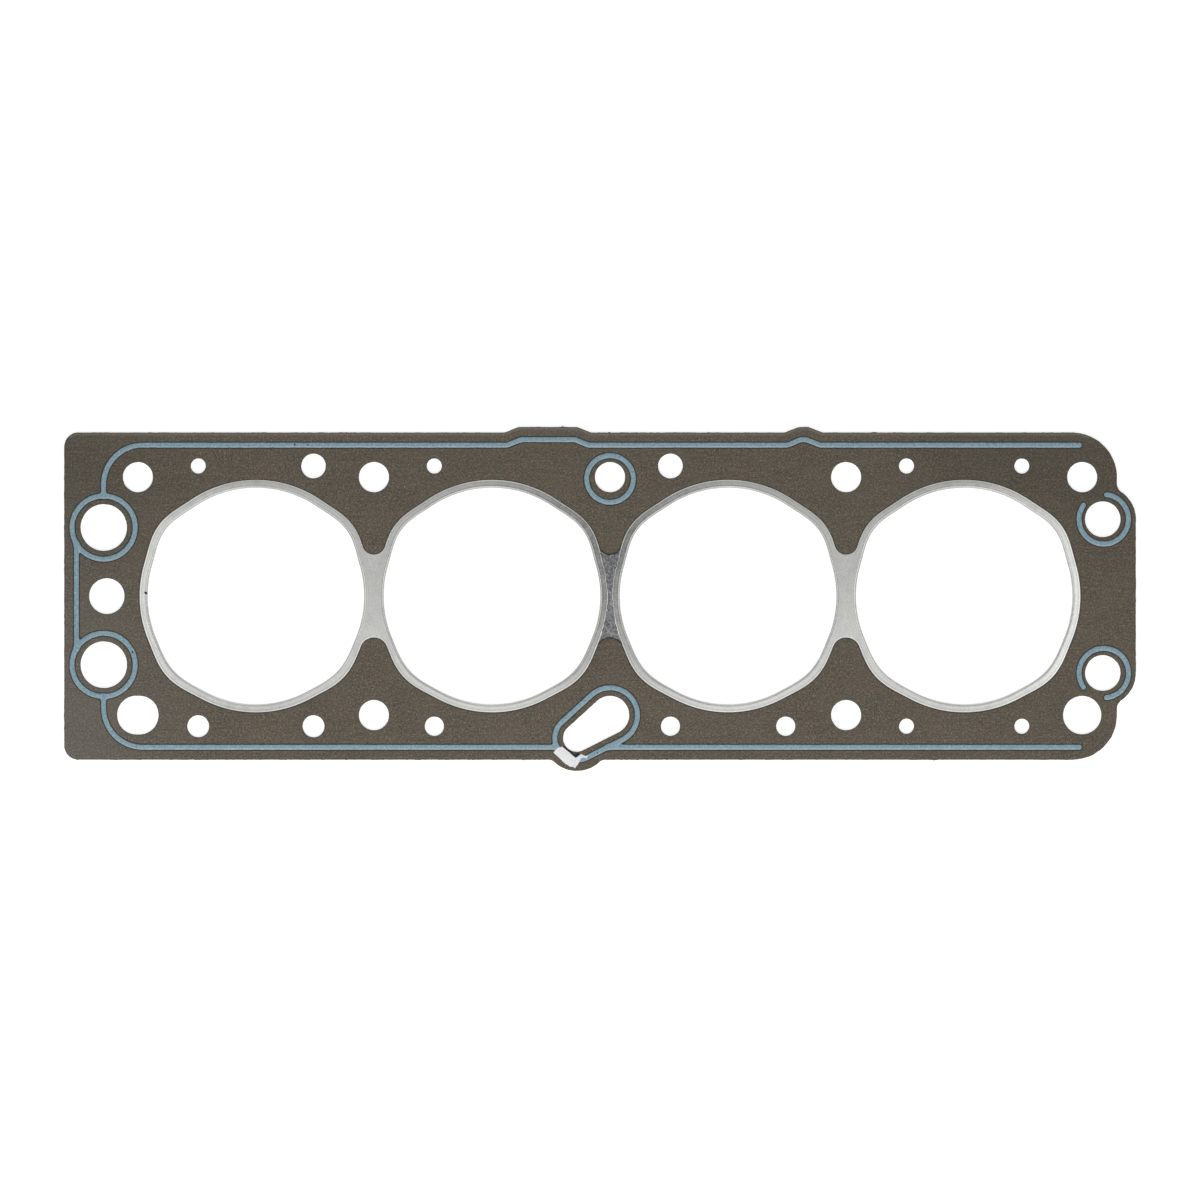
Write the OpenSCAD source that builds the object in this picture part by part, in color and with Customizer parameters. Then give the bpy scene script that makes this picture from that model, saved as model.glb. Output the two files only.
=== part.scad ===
// Cylinder head gasket for an inline four: steel core, two fibre facings, two twin-bore
// sheet metal fire rings and printed sealing beads. Millimetres. The origin is the centre of
// the head bolt pattern in the core's middle plane. +X runs along the bore row, +Y towards the
// row of five head bolts and +Z towards the cylinder head.

/* [Bores and fire rings] */
// Distance from one bore to the next
bore_pitch = 86; // [84:0.5:92]
// Diameter inside a fire ring, between its reliefs
bore_d = 78.7; // [74:0.1:81]
// Radial width of a fire ring's flange
flange_w = 3; // [2:0.1:3.4]
// Thickness of the fire rings' sheet metal
sheet_t = 0.22; // [0.16:0.01:0.3]
// Height of a fire ring's flange above the facing
ring_proud = 0.15; // [0.12:0.01:0.2]
// Clearance between a fire ring's wall and the punched edge that it wraps
wall_gap = 0.05; // [0.02:0.01:0.1]
// Width of the groove in the facing round a flange
edge_gap = 0.15; // [0.05:0.01:0.25]
// Width of bare core between the two sheets at the middle bridge
bare_strip_w = 1.3; // [0.8:0.1:2]

/* [Valve reliefs] */
// Depth of the two upper reliefs of a bore
relief_up = 1.4; // [0.4:0.1:2]
// Depth of the two lower reliefs of a bore
relief_down = 1; // [0.4:0.1:2]
// How far the flange's outer edge swells at an upper relief
swell_up = 1.45; // [0.4:0.05:2]
// How far the flange's outer edge swells at a lower relief
swell_down = 1.3; // [0.4:0.05:2]
// Angle of the upper reliefs above the bore row
relief_up_angle = 36; // [34:0.5:40]
// Angle of the lower reliefs below the bore row
relief_down_angle = 42; // [38:0.5:46]
// Half the angle that a relief takes up
relief_half_angle = 20; // [16:0.5:22]
// Angle above the bore row where a bridge's upper round begins
tip_up_angle = 25; // [24:0.5:27]
// Angle below the bore row where a bridge's lower round begins
tip_down_angle = 25.5; // [24:0.5:27]

/* [Layers] */
// Thickness of the steel core
core_t = 0.5; // [0.3:0.05:0.6]
// Thickness of each facing
facing_t = 0.4; // [0.3:0.05:0.8]
// Height of a sealing bead above the facing
bead_h = 0.12; // [0.05:0.01:0.14]

/* [Outline] */
// From a head bolt row out to the long edge
edge_margin = 16.25; // [15.5:0.05:20]
// From the end bolts out to the left edge
left_margin = 26.8; // [26:0.1:32]
// Radius of the two left corners
left_corner_r = 5.2; // [2:0.1:9]
// From the end bolts out to the neck of the right corners
right_neck = 12.6; // [12:0.1:14]
// Radius of the two right corners
right_corner_r = 16.3; // [13:0.1:16.5]
// Radius of the outline round a right oil hole
lobe_r = 12; // [11.5:0.1:13]
// Radius of the hollow between a right corner and its lobe
neck_fillet_r = 4; // [2:0.1:5]
// Radius of the outline round the slot's small end
slot_bump_r = 12; // [11:0.1:13]
// Radius of the hollows beside that bump
slot_fillet_r = 3; // [1:0.1:5]
// How far the two bumps stand out of the upper edge
bump_rise = 2; // [1:0.1:3]
// Length of a bump's ramp
bump_ramp = 5; // [4:0.1:7]
// Length of the wide bump at its foot
wide_bump_w = 31.4; // [26:0.1:40]
// Place of the wide bump, from the second bore towards the third
wide_bump_x = 20.4; // [16:0.1:24]
// Length of the narrow bump at its foot
narrow_bump_w = 13.7; // [12:0.1:20]
// Place of the narrow bump, from the third bore towards the fourth
narrow_bump_x = 27.5; // [22:0.1:32]
// Radius that rounds the bumps' corners
bump_round_r = 3; // [0.5:0.1:6]

/* [Bolt and dowel holes] */
// Distance between the two head bolt rows
bolt_row_gap = 86.7; // [84:0.1:94]
// Diameter of a head bolt hole
bolt_hole_d = 11; // [10:0.1:12]
// Diameter of the round dowel hole, lower right
dowel_d = 14; // [12:0.1:15]
// Height of the oblong dowel hole, lower left
oblong_h = 14.1; // [12:0.1:15]
// Length of the oblong dowel hole along the bore row
oblong_l = 15.2; // [15.1:0.1:17]

/* [Coolant holes] */
// From a head bolt row out to the row of coolant holes
coolant_out = 4.05; // [3:0.05:5]
// From a bore's centre to each of its coolant holes, along the bore row
coolant_side = 21; // [17:0.5:23]
// Diameter of the smallest coolant holes
coolant_xs_d = 5.5; // [4:0.1:6.5]
// Diameter of the small coolant holes
coolant_s_d = 7; // [6:0.1:7.5]
// Diameter of the middle size of coolant holes
coolant_m_d = 8; // [7:0.1:8.5]
// Diameter of the large coolant holes
coolant_l_d = 9; // [8:0.1:9.5]

/* [End holes] */
// From the end bolts out to the two large left holes
left_hole_out = 12.4; // [11.5:0.1:13]
// From a head bolt row in to a large left hole
left_hole_in = 18.35; // [18:0.05:21]
// Diameter of the two large left holes
left_hole_d = 17; // [14:0.1:18]
// From the end bolts out to the middle left hole
mid_hole_out = 11.3; // [9:0.1:13]
// Diameter of the middle left hole
mid_hole_d = 13; // [8:0.1:14]
// From the end bolts out to the two right oil holes
oil_hole_out = 7.5; // [6.5:0.1:9]
// From a head bolt row in to a right oil hole
oil_hole_in = 15.35; // [15.2:0.05:17]
// Diameter of the right oil holes
oil_hole_d = 13; // [10:0.1:13.5]

/* [Slot] */
// Diameter of the slot's big end, on the lower middle head bolt
slot_big_d = 14; // [12:0.1:15]
// Diameter of the slot's small end
slot_small_d = 10; // [8:0.1:11]
// From the slot's big end left to its small end
slot_left = 12.1; // [9:0.1:15]
// From the slot's big end down to its small end
slot_down = 8.35; // [7:0.05:9]

/* [Sealing beads] */
// Width of a printed bead
bead_w = 1.9; // [1.2:0.1:2.4]
// From the long edge in to the middle of the bead
bead_inset = 4.6; // [3.5:0.1:5]
// From a hole's edge out to the middle of the bead round it
bead_standoff = 3; // [2.2:0.1:3.2]
// Radius of the long bead's two left corners
bead_corner_r = 14.3; // [8:0.1:16]
// From the end bolts out to the straight bead beside the left edge
bead_link_out = 22.3; // [21:0.1:23]
// From the end bolts back to the long bead's two right ends
bead_end_back = 1.1; // [0:0.1:8]
// How far the ring bead lies inward of the upper middle bolt's centre
bolt_bead_drop = 0.65; // [0:0.05:1]
// From a right oil hole's edge out to the middle of its open bead
oil_bead_standoff = 2.5; // [2:0.1:3]
// How far the open beads lie outward of the oil holes' centres
oil_bead_shift = 0.3; // [0:0.05:0.5]
// Direction of an open bead's outer end, from the bore row's own direction
oil_bead_start = 84; // [70:1:90]
// Direction of an open bead's inner end
oil_bead_stop = 145; // [140:1:160]

/* [Film scrap] */
// Thickness of the torn scrap of white film on the long bead
film_t = 0.08; // [0.04:0.01:0.15]

/* [Hidden] */

$fn = 96;
// Angle from one point of a ring's edge to the next, and of the other arcs
ring_step = 4;
arc_step = 6;

// Heights from the core's middle plane
core_z = core_t / 2;
facing_z = core_z + facing_t;
ring_z = facing_z + ring_proud;
pressed_z = ring_z - sheet_t;
film_z = facing_z + bead_h;

// Places of the bolt rows and the ends
bolt_y = bolt_row_gap / 2;
end_x = 2 * bore_pitch;
edge_y = bolt_y + edge_margin;
coolant_y = bolt_y + coolant_out;
left_x = -end_x - left_margin;
neck_x = end_x + right_neck;
left_hole = [-end_x - left_hole_out, bolt_y - left_hole_in];
oil_hole = [end_x + oil_hole_out, bolt_y - oil_hole_in];
slot_big = [0, -bolt_y];
slot_small = slot_big - [slot_left, slot_down];

// Radii of the bores' edges: the ring's wall, the punched edge it wraps and its flange
bore_r = bore_d / 2;
punched_r = bore_r + sheet_t + wall_gap;
flange_r = bore_r + flange_w;

// Coolant holes as bore number, side of that bore and diameter
COOLANT_UPPER = [[0, -1, coolant_xs_d], [0, 1, coolant_l_d], [1, -1, coolant_xs_d],
                 [2, -1, coolant_l_d], [3, -1, coolant_xs_d], [3, 1, coolant_xs_d]];
COOLANT_LOWER = [[0, -1, coolant_m_d], [0, 1, coolant_m_d], [1, -1, coolant_s_d],
                 [2, -1, coolant_s_d], [2, 1, coolant_s_d], [3, -1, coolant_xs_d],
                 [3, 1, coolant_xs_d]];

// The scrap of film's torn outline, from the middle of the slot's small end
FILM = [[-8.5, -5.3], [-6.9, -3.4], [-5.3, -3.1], [-0.4, -7.2], [1.5, -5.8], [2.5, -6.2],
        [3.1, -6.5], [4.2, -6.3], [3.6, -7.4], [2.5, -7.2], [1.7, -7.2], [0.4, -9.5],
        [-0.8, -11.2], [-1.1, -10.5], [-2.5, -10.4], [-4.4, -9.2], [-6.5, -7]];

function bore_x(i) = (i - 1.5) * bore_pitch;
function unit(v) = v / norm(v);
function polar(r, a) = r * [cos(a), sin(a)];

// Points of an arc round c, from angle a0 to a1
function arc(c, r, a0, a1, step = arc_step) =
    let (n = max(1, ceil(abs(a1 - a0) / step)))
    [for (i = [0 : n]) c + polar(r, a0 + (a1 - a0) * i / n)];

// Height of one relief at an angle off its middle, a cosine hump
function hump(off, h) =
    let (a = abs((off % 360 + 540) % 360 - 180))
    a < relief_half_angle ? h * (1 + cos(180 * a / relief_half_angle)) / 2 : 0;

// Radius of a bore's edge at angle a, with its two upper and two lower reliefs
function edge_r(r, up, down, a) =
    r + hump(a - relief_up_angle, up) + hump(a - 180 + relief_up_angle, up)
      + hump(a - 180 - relief_down_angle, down) + hump(a + relief_down_angle, down);

function bore_edge(x, r, up, down, a0, a1) =
    let (n = ceil(abs(a1 - a0) / ring_step))
    [for (i = [0 : n]) let (a = a0 + (a1 - a0) * i / n) [x, 0] + polar(edge_r(r, up, down, a), a)];

// A closed bore, its last point left out because it is the first
function bore_loop(x, r) =
    let (p = bore_edge(x, r, relief_up, relief_down, 0, 360)) [for (i = [0 : len(p) - 2]) p[i]];

// The round at the end of a bridge, tangent to the flange of the bore right of it at angle a
function tip(x_mid, r, a) =
    let (r0 = edge_r(r, swell_up, swell_down, a),
         slope = (edge_r(r, swell_up, swell_down, a + 1)
                  - edge_r(r, swell_up, swell_down, a - 1)) / 2 * 180 / PI,
         normal = a - atan2(slope, r0),
         p = [x_mid + bore_pitch / 2, 0] + polar(r0, a),
         t = (x_mid - p[0]) / cos(normal))
    [p + polar(t, normal), t, normal];

function tip_upper(x_mid, r) =
    let (t = tip(x_mid, r, 180 - tip_up_angle)) arc(t[0], t[1], t[2] + 180, 360 - t[2], 12);
function tip_lower(x_mid, r) =
    let (t = tip(x_mid, r, 180 + tip_down_angle)) arc(t[0], t[1], 360 - t[2], t[2] - 180, 12);

// Flange edge of one bore, with the sheet held back from the middle of the middle bridge
function flange_edge(x, r, a0, a1) =
    let (s = sign(x), back = bare_strip_w / 2 - (r - flange_r))
    [for (p = bore_edge(x, r, swell_up, swell_down, a0, a1)) [s * max(s * p[0], back), p[1]]];

// Outer edge of a twin-bore sheet: side is -1 for bores 1 and 2, 1 for bores 3 and 4
function sheet_edge(side, grow = 0) =
    let (x_mid = side * bore_pitch, h = bore_pitch / 2, r = flange_r + grow)
    concat(flange_edge(x_mid + h, r, tip_down_angle - 180, 180 - tip_up_angle),
           tip_upper(x_mid, r),
           flange_edge(x_mid - h, r, tip_up_angle, 360 - tip_down_angle),
           tip_lower(x_mid, r));

// Bare part of the middle bridge, between the two sheets
function bare_bridge() =
    let (h = bore_pitch / 2)
    concat(flange_edge(h, flange_r, 180 + tip_down_angle, 180 - tip_up_angle),
           tip_upper(0, flange_r),
           flange_edge(-h, flange_r, tip_up_angle, -tip_down_angle),
           tip_lower(0, flange_r));

// A path whose corners [x, y, radius] are rounded
function rounded(p) =
    [for (i = [0 : len(p) - 1])
        let (c = [p[i][0], p[i][1]], r = p[i][2])
        if (r == 0) c
        else
            let (before = [p[i - 1][0], p[i - 1][1]], after = [p[i + 1][0], p[i + 1][1]],
                 u = unit(before - c), v = unit(after - c), half = acos(u * v) / 2,
                 m = c + unit(u + v) * r / sin(half),
                 q = c + u * r / tan(half) - m, a = atan2(q[1], q[0]),
                 turn = (u[0] * v[1] - u[1] * v[0] > 0 ? -1 : 1) * (180 - 2 * half),
                 n = max(2, ceil((180 - 2 * half) / arc_step)))
            for (k = [0 : n]) m + polar(r, a + turn * k / n)];

// Corners of one bump on the upper edge, from right to left, drawn inward by inset
function bump(x, w, inset) =
    let (shift = inset * tan(atan2(bump_rise, bump_ramp) / 2), foot = w / 2 - shift,
         y = edge_y - inset)
    [[x + foot, y, bump_round_r], [x + foot - bump_ramp, y + bump_rise, bump_round_r],
     [x - foot + bump_ramp, y + bump_rise, bump_round_r], [x - foot, y, bump_round_r]];

function upper_bumps(inset) = concat(bump(bore_x(2) + narrow_bump_x, narrow_bump_w, inset),
                                     bump(bore_x(1) + wide_bump_x, wide_bump_w, inset));

// Right-hand side of the outline, from the neck of the lower corner to the upper one
neck_fillet = [neck_x + neck_fillet_r, oil_hole[1]
    + sqrt(pow(lobe_r + neck_fillet_r, 2) - pow(neck_x + neck_fillet_r - oil_hole[0], 2))];
neck_a = atan2(neck_fillet[1] - oil_hole[1], neck_fillet[0] - oil_hole[0]);
RIGHT_SIDE = concat(
    arc([neck_x - right_corner_r, right_corner_r - edge_y], right_corner_r, -90, 0),
    arc([neck_fillet[0], -neck_fillet[1]], neck_fillet_r, 180, 180 - neck_a),
    arc([oil_hole[0], -oil_hole[1]], lobe_r, -neck_a, 0),
    arc(oil_hole, lobe_r, 0, neck_a),
    arc(neck_fillet, neck_fillet_r, 180 + neck_a, 180),
    arc([neck_x - right_corner_r, edge_y - right_corner_r], right_corner_r, 0, 90));

// Lower edge: the bump round the slot's small end, with a hollow on each side
slot_fillet_y = -edge_y - slot_fillet_r;
slot_fillet_x = sqrt(pow(slot_bump_r + slot_fillet_r, 2) - pow(slot_fillet_y - slot_small[1], 2));
slot_a = atan2(slot_small[1] - slot_fillet_y, slot_fillet_x);
LOWER_BUMP = concat(
    arc([slot_small[0] - slot_fillet_x, slot_fillet_y], slot_fillet_r, 90, slot_a),
    arc(slot_small, slot_bump_r, 180 + slot_a, 360 - slot_a),
    arc([slot_small[0] + slot_fillet_x, slot_fillet_y], slot_fillet_r, 180 - slot_a, 90));

OUTLINE = concat(
    LOWER_BUMP, RIGHT_SIDE,
    rounded(concat([[bore_x(3), edge_y, 0]], upper_bumps(0),
                   [[left_x, edge_y, left_corner_r], [left_x, -edge_y, left_corner_r],
                    [-end_x, -edge_y, 0]])));

// Tapered slot between two round ends of radii r1 and r2
module tapered(c1, r1, c2, r2) {
    d = c2 - c1;
    along = atan2(d[1], d[0]);
    lean = acos((r1 - r2) / norm(d));
    polygon(concat(arc(c1, r1, along + lean, along + 360 - lean),
                   arc(c2, r2, along - lean, along + lean)));
}

// Strip of width w along a path, with a round or a flat end
function normal_at(p, i) =
    let (a = unit(p[min(i + 1, len(p) - 1)] - p[i == len(p) - 1 ? i - 1 : i]),
         b = unit(p[i == 0 ? 1 : i] - p[max(i - 1, 0)]), t = unit(a + b),
         reach = a[0] * t[0] + a[1] * t[1])
    [-t[1], t[0]] / reach;
function cap(c, from, w) = [for (k = [1 : 11]) c + polar(w / 2, from + k * 15)];
module strip(p, w, round_start = false, round_end = false) {
    last = len(p) - 1;
    n0 = normal_at(p, 0);
    n1 = normal_at(p, last);
    polygon(concat(
        [for (i = [0 : last]) p[i] - normal_at(p, i) * w / 2],
        round_end ? cap(p[last], atan2(-n1[1], -n1[0]), w) : [],
        [for (i = [last : -1 : 0]) p[i] + normal_at(p, i) * w / 2],
        round_start ? cap(p[0], atan2(n0[1], n0[0]), w) : []));
}

module round_hole(x, y, d) translate([x, y]) circle(d = d);

module bolt_and_dowel_holes() {
    for (i = [-2 : 2]) round_hole(i * bore_pitch, bolt_y, bolt_hole_d);
    for (i = [-1, 1]) round_hole(i * bore_pitch, -bolt_y, bolt_hole_d);
    round_hole(end_x, -bolt_y, dowel_d);
    half = (oblong_l - oblong_h) / 2;
    tapered([-end_x - half, -bolt_y], oblong_h / 2, [-end_x + half, -bolt_y], oblong_h / 2);
    tapered(slot_big, slot_big_d / 2, slot_small, slot_small_d / 2);
}

module fluid_holes() {
    for (h = COOLANT_UPPER) round_hole(bore_x(h[0]) + h[1] * coolant_side, coolant_y, h[2]);
    for (h = COOLANT_LOWER) round_hole(bore_x(h[0]) + h[1] * coolant_side, -coolant_y, h[2]);
    for (s = [-1, 1]) round_hole(left_hole[0], s * left_hole[1], left_hole_d);
    for (s = [-1, 1]) round_hole(oil_hole[0], s * oil_hole[1], oil_hole_d);
    round_hole(-end_x - mid_hole_out, 0, mid_hole_d);
}

// The shape that all three layers are punched to
module punched() {
    difference() {
        polygon(OUTLINE);
        for (i = [0 : 3]) polygon(bore_loop(bore_x(i), punched_r));
        bolt_and_dowel_holes();
        fluid_holes();
    }
}

module core_plate() {
    color([0.29, 0.31, 0.34]) linear_extrude(core_t, center = true) punched();
}

// One facing, as it lies on top of the core: pressed in under the rings' flanges, and open
// over the bare part of the middle bridge
module facing() {
    color([0.37, 0.34, 0.3]) translate([0, 0, core_z]) difference() {
        linear_extrude(facing_t) difference() {
            punched();
            polygon(bare_bridge());
        }
        translate([0, 0, pressed_z - core_z]) linear_extrude(facing_t)
            for (side = [-1, 1]) polygon(sheet_edge(side, edge_gap));
    }
}

// A sheet metal ring for two bores: a wall in each bore with a flange on both faces. The
// channel between the flanges takes the core and the facings.
module fire_ring(side) {
    bores = [side * bore_pitch - bore_pitch / 2, side * bore_pitch + bore_pitch / 2];
    color([0.8, 0.8, 0.78]) difference() {
        linear_extrude(2 * ring_z, center = true) difference() {
            polygon(sheet_edge(side));
            for (x = bores) polygon(bore_loop(x, bore_r));
        }
        linear_extrude(2 * pressed_z, center = true) difference() {
            polygon(sheet_edge(side, 1));
            for (x = bores) polygon(bore_loop(x, bore_r + sheet_t));
        }
    }
}

module on_face(face) {
    color([0.5, 0.64, 0.72]) translate([0, 0, face > 0 ? facing_z : -facing_z - bead_h])
        linear_extrude(bead_h) children();
}

module bead_ring(c, r) {
    translate(c) difference() {
        circle(r + bead_w / 2);
        circle(r - bead_w / 2);
    }
}

// The long bead: along the upper edge, round the left holes and back along the lower edge
module edge_bead(face) {
    y = edge_y - bead_inset;
    stop_x = end_x - bead_end_back;
    ring_r = left_hole_d / 2 + bead_standoff;
    link_x = -end_x - bead_link_out;
    link_y = left_hole[1] - sqrt(pow(ring_r, 2) - pow(link_x - left_hole[0], 2));
    big_r = slot_big_d / 2 + bead_standoff;
    small_r = slot_small_d / 2 + bead_standoff;
    // Where the lower run meets the loop round the slot, left and right of it
    join_left = slot_small[0] - sqrt(pow(small_r, 2) - pow(y + slot_small[1], 2));
    d = slot_small - slot_big;
    normal = atan2(d[1], d[0]) + acos((big_r - small_r) / norm(d));
    side = slot_big + polar(big_r, normal);
    join_right = side[0] + (side[1] + y) * tan(normal);
    on_face(face) union() {
        strip(rounded(concat([[stop_x, y, 0]], upper_bumps(bead_inset),
                             [[left_hole[0], y, bead_corner_r],
                              [left_hole[0], left_hole[1] + ring_r, 0]])),
              bead_w, round_start = true);
        bead_ring(left_hole, ring_r);
        strip([[link_x, link_y], [link_x, -link_y]], bead_w);
        bead_ring([left_hole[0], -left_hole[1]], ring_r);
        strip(rounded([[left_hole[0], -left_hole[1] - ring_r, 0],
                       [left_hole[0], -y, bead_corner_r], [join_left, -y, 0]]), bead_w);
        difference() {
            tapered(slot_big, big_r + bead_w / 2, slot_small, small_r + bead_w / 2);
            tapered(slot_big, big_r - bead_w / 2, slot_small, small_r - bead_w / 2);
        }
        strip([[join_right, -y], [stop_x, -y]], bead_w, round_end = true);
    }
}

module bolt_bead(face) {
    on_face(face) bead_ring([0, bolt_y - bolt_bead_drop], bolt_hole_d / 2 + bead_standoff);
}

// Open bead round a right oil hole, its gap towards the corner bolt: s is 1 for the upper hole
module oil_bead(face, s) {
    c = [oil_hole[0] + oil_bead_shift, s * oil_hole[1]];
    on_face(face)
        strip(arc(c, oil_hole_d / 2 + oil_bead_standoff, s * oil_bead_stop,
                  s * (oil_bead_start + 360)), bead_w, round_start = true, round_end = true);
}

module torn_film() {
    color([0.93, 0.93, 0.95]) translate([slot_small[0], slot_small[1], film_z])
        linear_extrude(film_t) polygon(FILM);
}

core_plate();
facing();  // facing_top
mirror([0, 0, 1]) facing();  // facing_bottom
fire_ring(-1);  // fire_ring_left
fire_ring(1);  // fire_ring_right
edge_bead(1);  // edge_bead_top
bolt_bead(1);  // bolt_bead_top
oil_bead(1, 1);  // oil_bead_upper_top
oil_bead(1, -1);  // oil_bead_lower_top
edge_bead(-1);  // edge_bead_bottom
bolt_bead(-1);  // bolt_bead_bottom
oil_bead(-1, 1);  // oil_bead_upper_bottom
oil_bead(-1, -1);  // oil_bead_lower_bottom
torn_film();
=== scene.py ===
"""Looks of the cylinder head gasket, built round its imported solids. Shapes are worked out in
millimetres from the same driving sizes as the solids, and scaled to metres when a piece is made."""
import math

import bpy
import numpy as np
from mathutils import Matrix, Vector
from mathutils.geometry import delaunay_2d_cdt


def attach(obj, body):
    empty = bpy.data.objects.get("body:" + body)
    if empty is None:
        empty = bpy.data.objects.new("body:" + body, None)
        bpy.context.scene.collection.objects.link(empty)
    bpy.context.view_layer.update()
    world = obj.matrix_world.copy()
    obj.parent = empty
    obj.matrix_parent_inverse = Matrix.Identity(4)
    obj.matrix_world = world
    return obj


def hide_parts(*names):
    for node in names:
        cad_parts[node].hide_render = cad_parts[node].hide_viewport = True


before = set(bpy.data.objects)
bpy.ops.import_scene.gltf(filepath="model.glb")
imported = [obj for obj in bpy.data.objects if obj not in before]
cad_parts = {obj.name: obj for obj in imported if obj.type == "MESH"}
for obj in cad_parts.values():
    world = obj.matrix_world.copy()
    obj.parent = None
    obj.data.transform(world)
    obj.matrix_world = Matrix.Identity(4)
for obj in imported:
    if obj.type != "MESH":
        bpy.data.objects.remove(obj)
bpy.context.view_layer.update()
MM = 0.001
SEED = 7

# Bores and fire rings
PITCH = 86.0
BORE_R = 39.35
FLANGE_R = BORE_R + 3.0
PUNCHED_R = BORE_R + 0.27
CHANNEL_R = BORE_R + 0.22
EDGE_GAP = 0.15
RELIEF = (1.4, 1.0)
SWELL = (1.45, 1.3)
HUMP_UP, HUMP_DOWN, HUMP_HALF = 36.0, 42.0, 20.0
TIP_UP, TIP_DOWN = 25.0, 25.5
BARE_HALF = 0.65

# Heights from the core's middle plane
CORE_Z = 0.25
PRESSED_Z = 0.58
FACING_Z = 0.65
RING_Z = 0.80
BEAD_Z = 0.77

# Outline
BOLT_Y = 43.35
END_X = 2 * PITCH
EDGE_Y = BOLT_Y + 16.25
LEFT_X = -END_X - 26.8
LEFT_CORNER_R = 5.2
NECK_X = END_X + 12.6
RIGHT_CORNER_R = 16.3
LOBE_R, NECK_FILLET_R = 12.0, 4.0
SLOT_BUMP_R, SLOT_FILLET_R = 12.0, 3.0
BUMP_RISE, BUMP_RAMP, BUMP_ROUND = 2.0, 5.0, 3.0
WIDE_BUMP, NARROW_BUMP = (-PITCH / 2 + 20.4, 31.4), (PITCH / 2 + 27.5, 13.7)

# Holes
BOLT_R, DOWEL_R = 5.5, 7.0
OBLONG_R, OBLONG_HALF = 7.05, 0.55
COOLANT_Y, COOLANT_SIDE = BOLT_Y + 4.05, 21.0
COOLANT_UPPER = [(0, -1, 5.5), (0, 1, 9), (1, -1, 5.5), (2, -1, 9), (3, -1, 5.5), (3, 1, 5.5)]
COOLANT_LOWER = [(0, -1, 8), (0, 1, 8), (1, -1, 7), (2, -1, 7), (2, 1, 7), (3, -1, 5.5),
                 (3, 1, 5.5)]
LEFT_HOLE, LEFT_HOLE_R = np.array([-END_X - 12.4, 25.0]), 8.5
MID_HOLE, MID_HOLE_R = np.array([-END_X - 11.3, 0.0]), 6.5
OIL_HOLE, OIL_HOLE_R = np.array([END_X + 7.5, 28.0]), 6.5
SLOT_BIG, SLOT_BIG_R = np.array([0.0, -BOLT_Y]), 7.0
SLOT_SMALL, SLOT_SMALL_R = SLOT_BIG - (12.1, 8.35), 5.0

# Sealing beads
BEAD_HALF = 0.95
BEAD_INSET, BEAD_STANDOFF = 4.6, 3.0
BEAD_CORNER_R = 14.3
LINK_X = -END_X - 22.3
BEAD_END_X = END_X - 1.1
BOLT_BEAD_Y = BOLT_Y - 0.65
OIL_BEAD_R, OIL_BEAD_SHIFT = OIL_HOLE_R + 2.5, 0.3
OIL_BEAD_START, OIL_BEAD_STOP = 84.0, 145.0


def bore_x(i):
    return (i - 1.5) * PITCH


def polar(r, a):
    """Points at radius r and angles a, in degrees."""
    a = np.radians(a)
    return np.stack([r * np.cos(a), r * np.sin(a)], -1)


def arc(c, r, a0, a1, step=3.0):
    n = max(2, int(math.ceil(abs(a1 - a0) / step)))
    return np.asarray(c, float) + polar(r, np.linspace(a0, a1, n + 1))


def hump(off, height):
    """Height of one relief at an angle off its middle, a cosine hump."""
    a = np.abs((off + 180) % 360 - 180)
    return np.where(a < HUMP_HALF, height * (1 + np.cos(np.pi * a / HUMP_HALF)) / 2, 0)


def edge_r(r, humps, a):
    """Radius of a bore's edge at angle a, with its two upper and two lower reliefs."""
    a = np.asarray(a, float)
    up, down = humps
    return (r + hump(a - HUMP_UP, up) + hump(a - 180 + HUMP_UP, up)
            + hump(a - 180 - HUMP_DOWN, down) + hump(a + HUMP_DOWN, down))


def bore_edge(x, r, humps, a0, a1, step=1.0):
    a = np.linspace(a0, a1, int(math.ceil(abs(a1 - a0) / step)) + 1)
    return np.array([x, 0]) + polar(edge_r(r, humps, a), a)


def bore_loop(x, r, step=1.0):
    return bore_edge(x, r, RELIEF, 0, 360, step)[:-1]


def tip(x_mid, r, a):
    """Centre, radius and start direction of the round at a bridge's end."""
    r0 = edge_r(r, SWELL, a)
    slope = math.degrees(edge_r(r, SWELL, a + 1) - edge_r(r, SWELL, a - 1)) / 2
    normal = a - math.degrees(math.atan2(slope, r0))
    p = np.array([x_mid + PITCH / 2, 0]) + polar(r0, a)
    t = (x_mid - p[0]) / math.cos(math.radians(normal))
    return p + polar(t, normal), t, normal


def tip_upper(x_mid, r):
    c, t, a = tip(x_mid, r, 180 - TIP_UP)
    return arc(c, t, a + 180, 360 - a, 6)


def tip_lower(x_mid, r):
    c, t, a = tip(x_mid, r, 180 + TIP_DOWN)
    return arc(c, t, 360 - a, a - 180, 6)


def flange_edge(x, r, a0, a1):
    """Flange edge of one bore, held back from the middle of the middle bridge."""
    side, back = math.copysign(1, x), BARE_HALF - (r - FLANGE_R)
    p = bore_edge(x, r, SWELL, a0, a1)
    if abs(x) < PITCH:
        p[:, 0] = side * np.maximum(side * p[:, 0], back)
    return p


def sheet_edge(side, grow):
    """Outer edge of a twin-bore sheet, moved outward by grow."""
    x_mid, h, r = side * PITCH, PITCH / 2, FLANGE_R + grow
    return join(flange_edge(x_mid + h, r, TIP_DOWN - 180, 180 - TIP_UP), tip_upper(x_mid, r),
                flange_edge(x_mid - h, r, TIP_UP, 360 - TIP_DOWN), tip_lower(x_mid, r))


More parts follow.
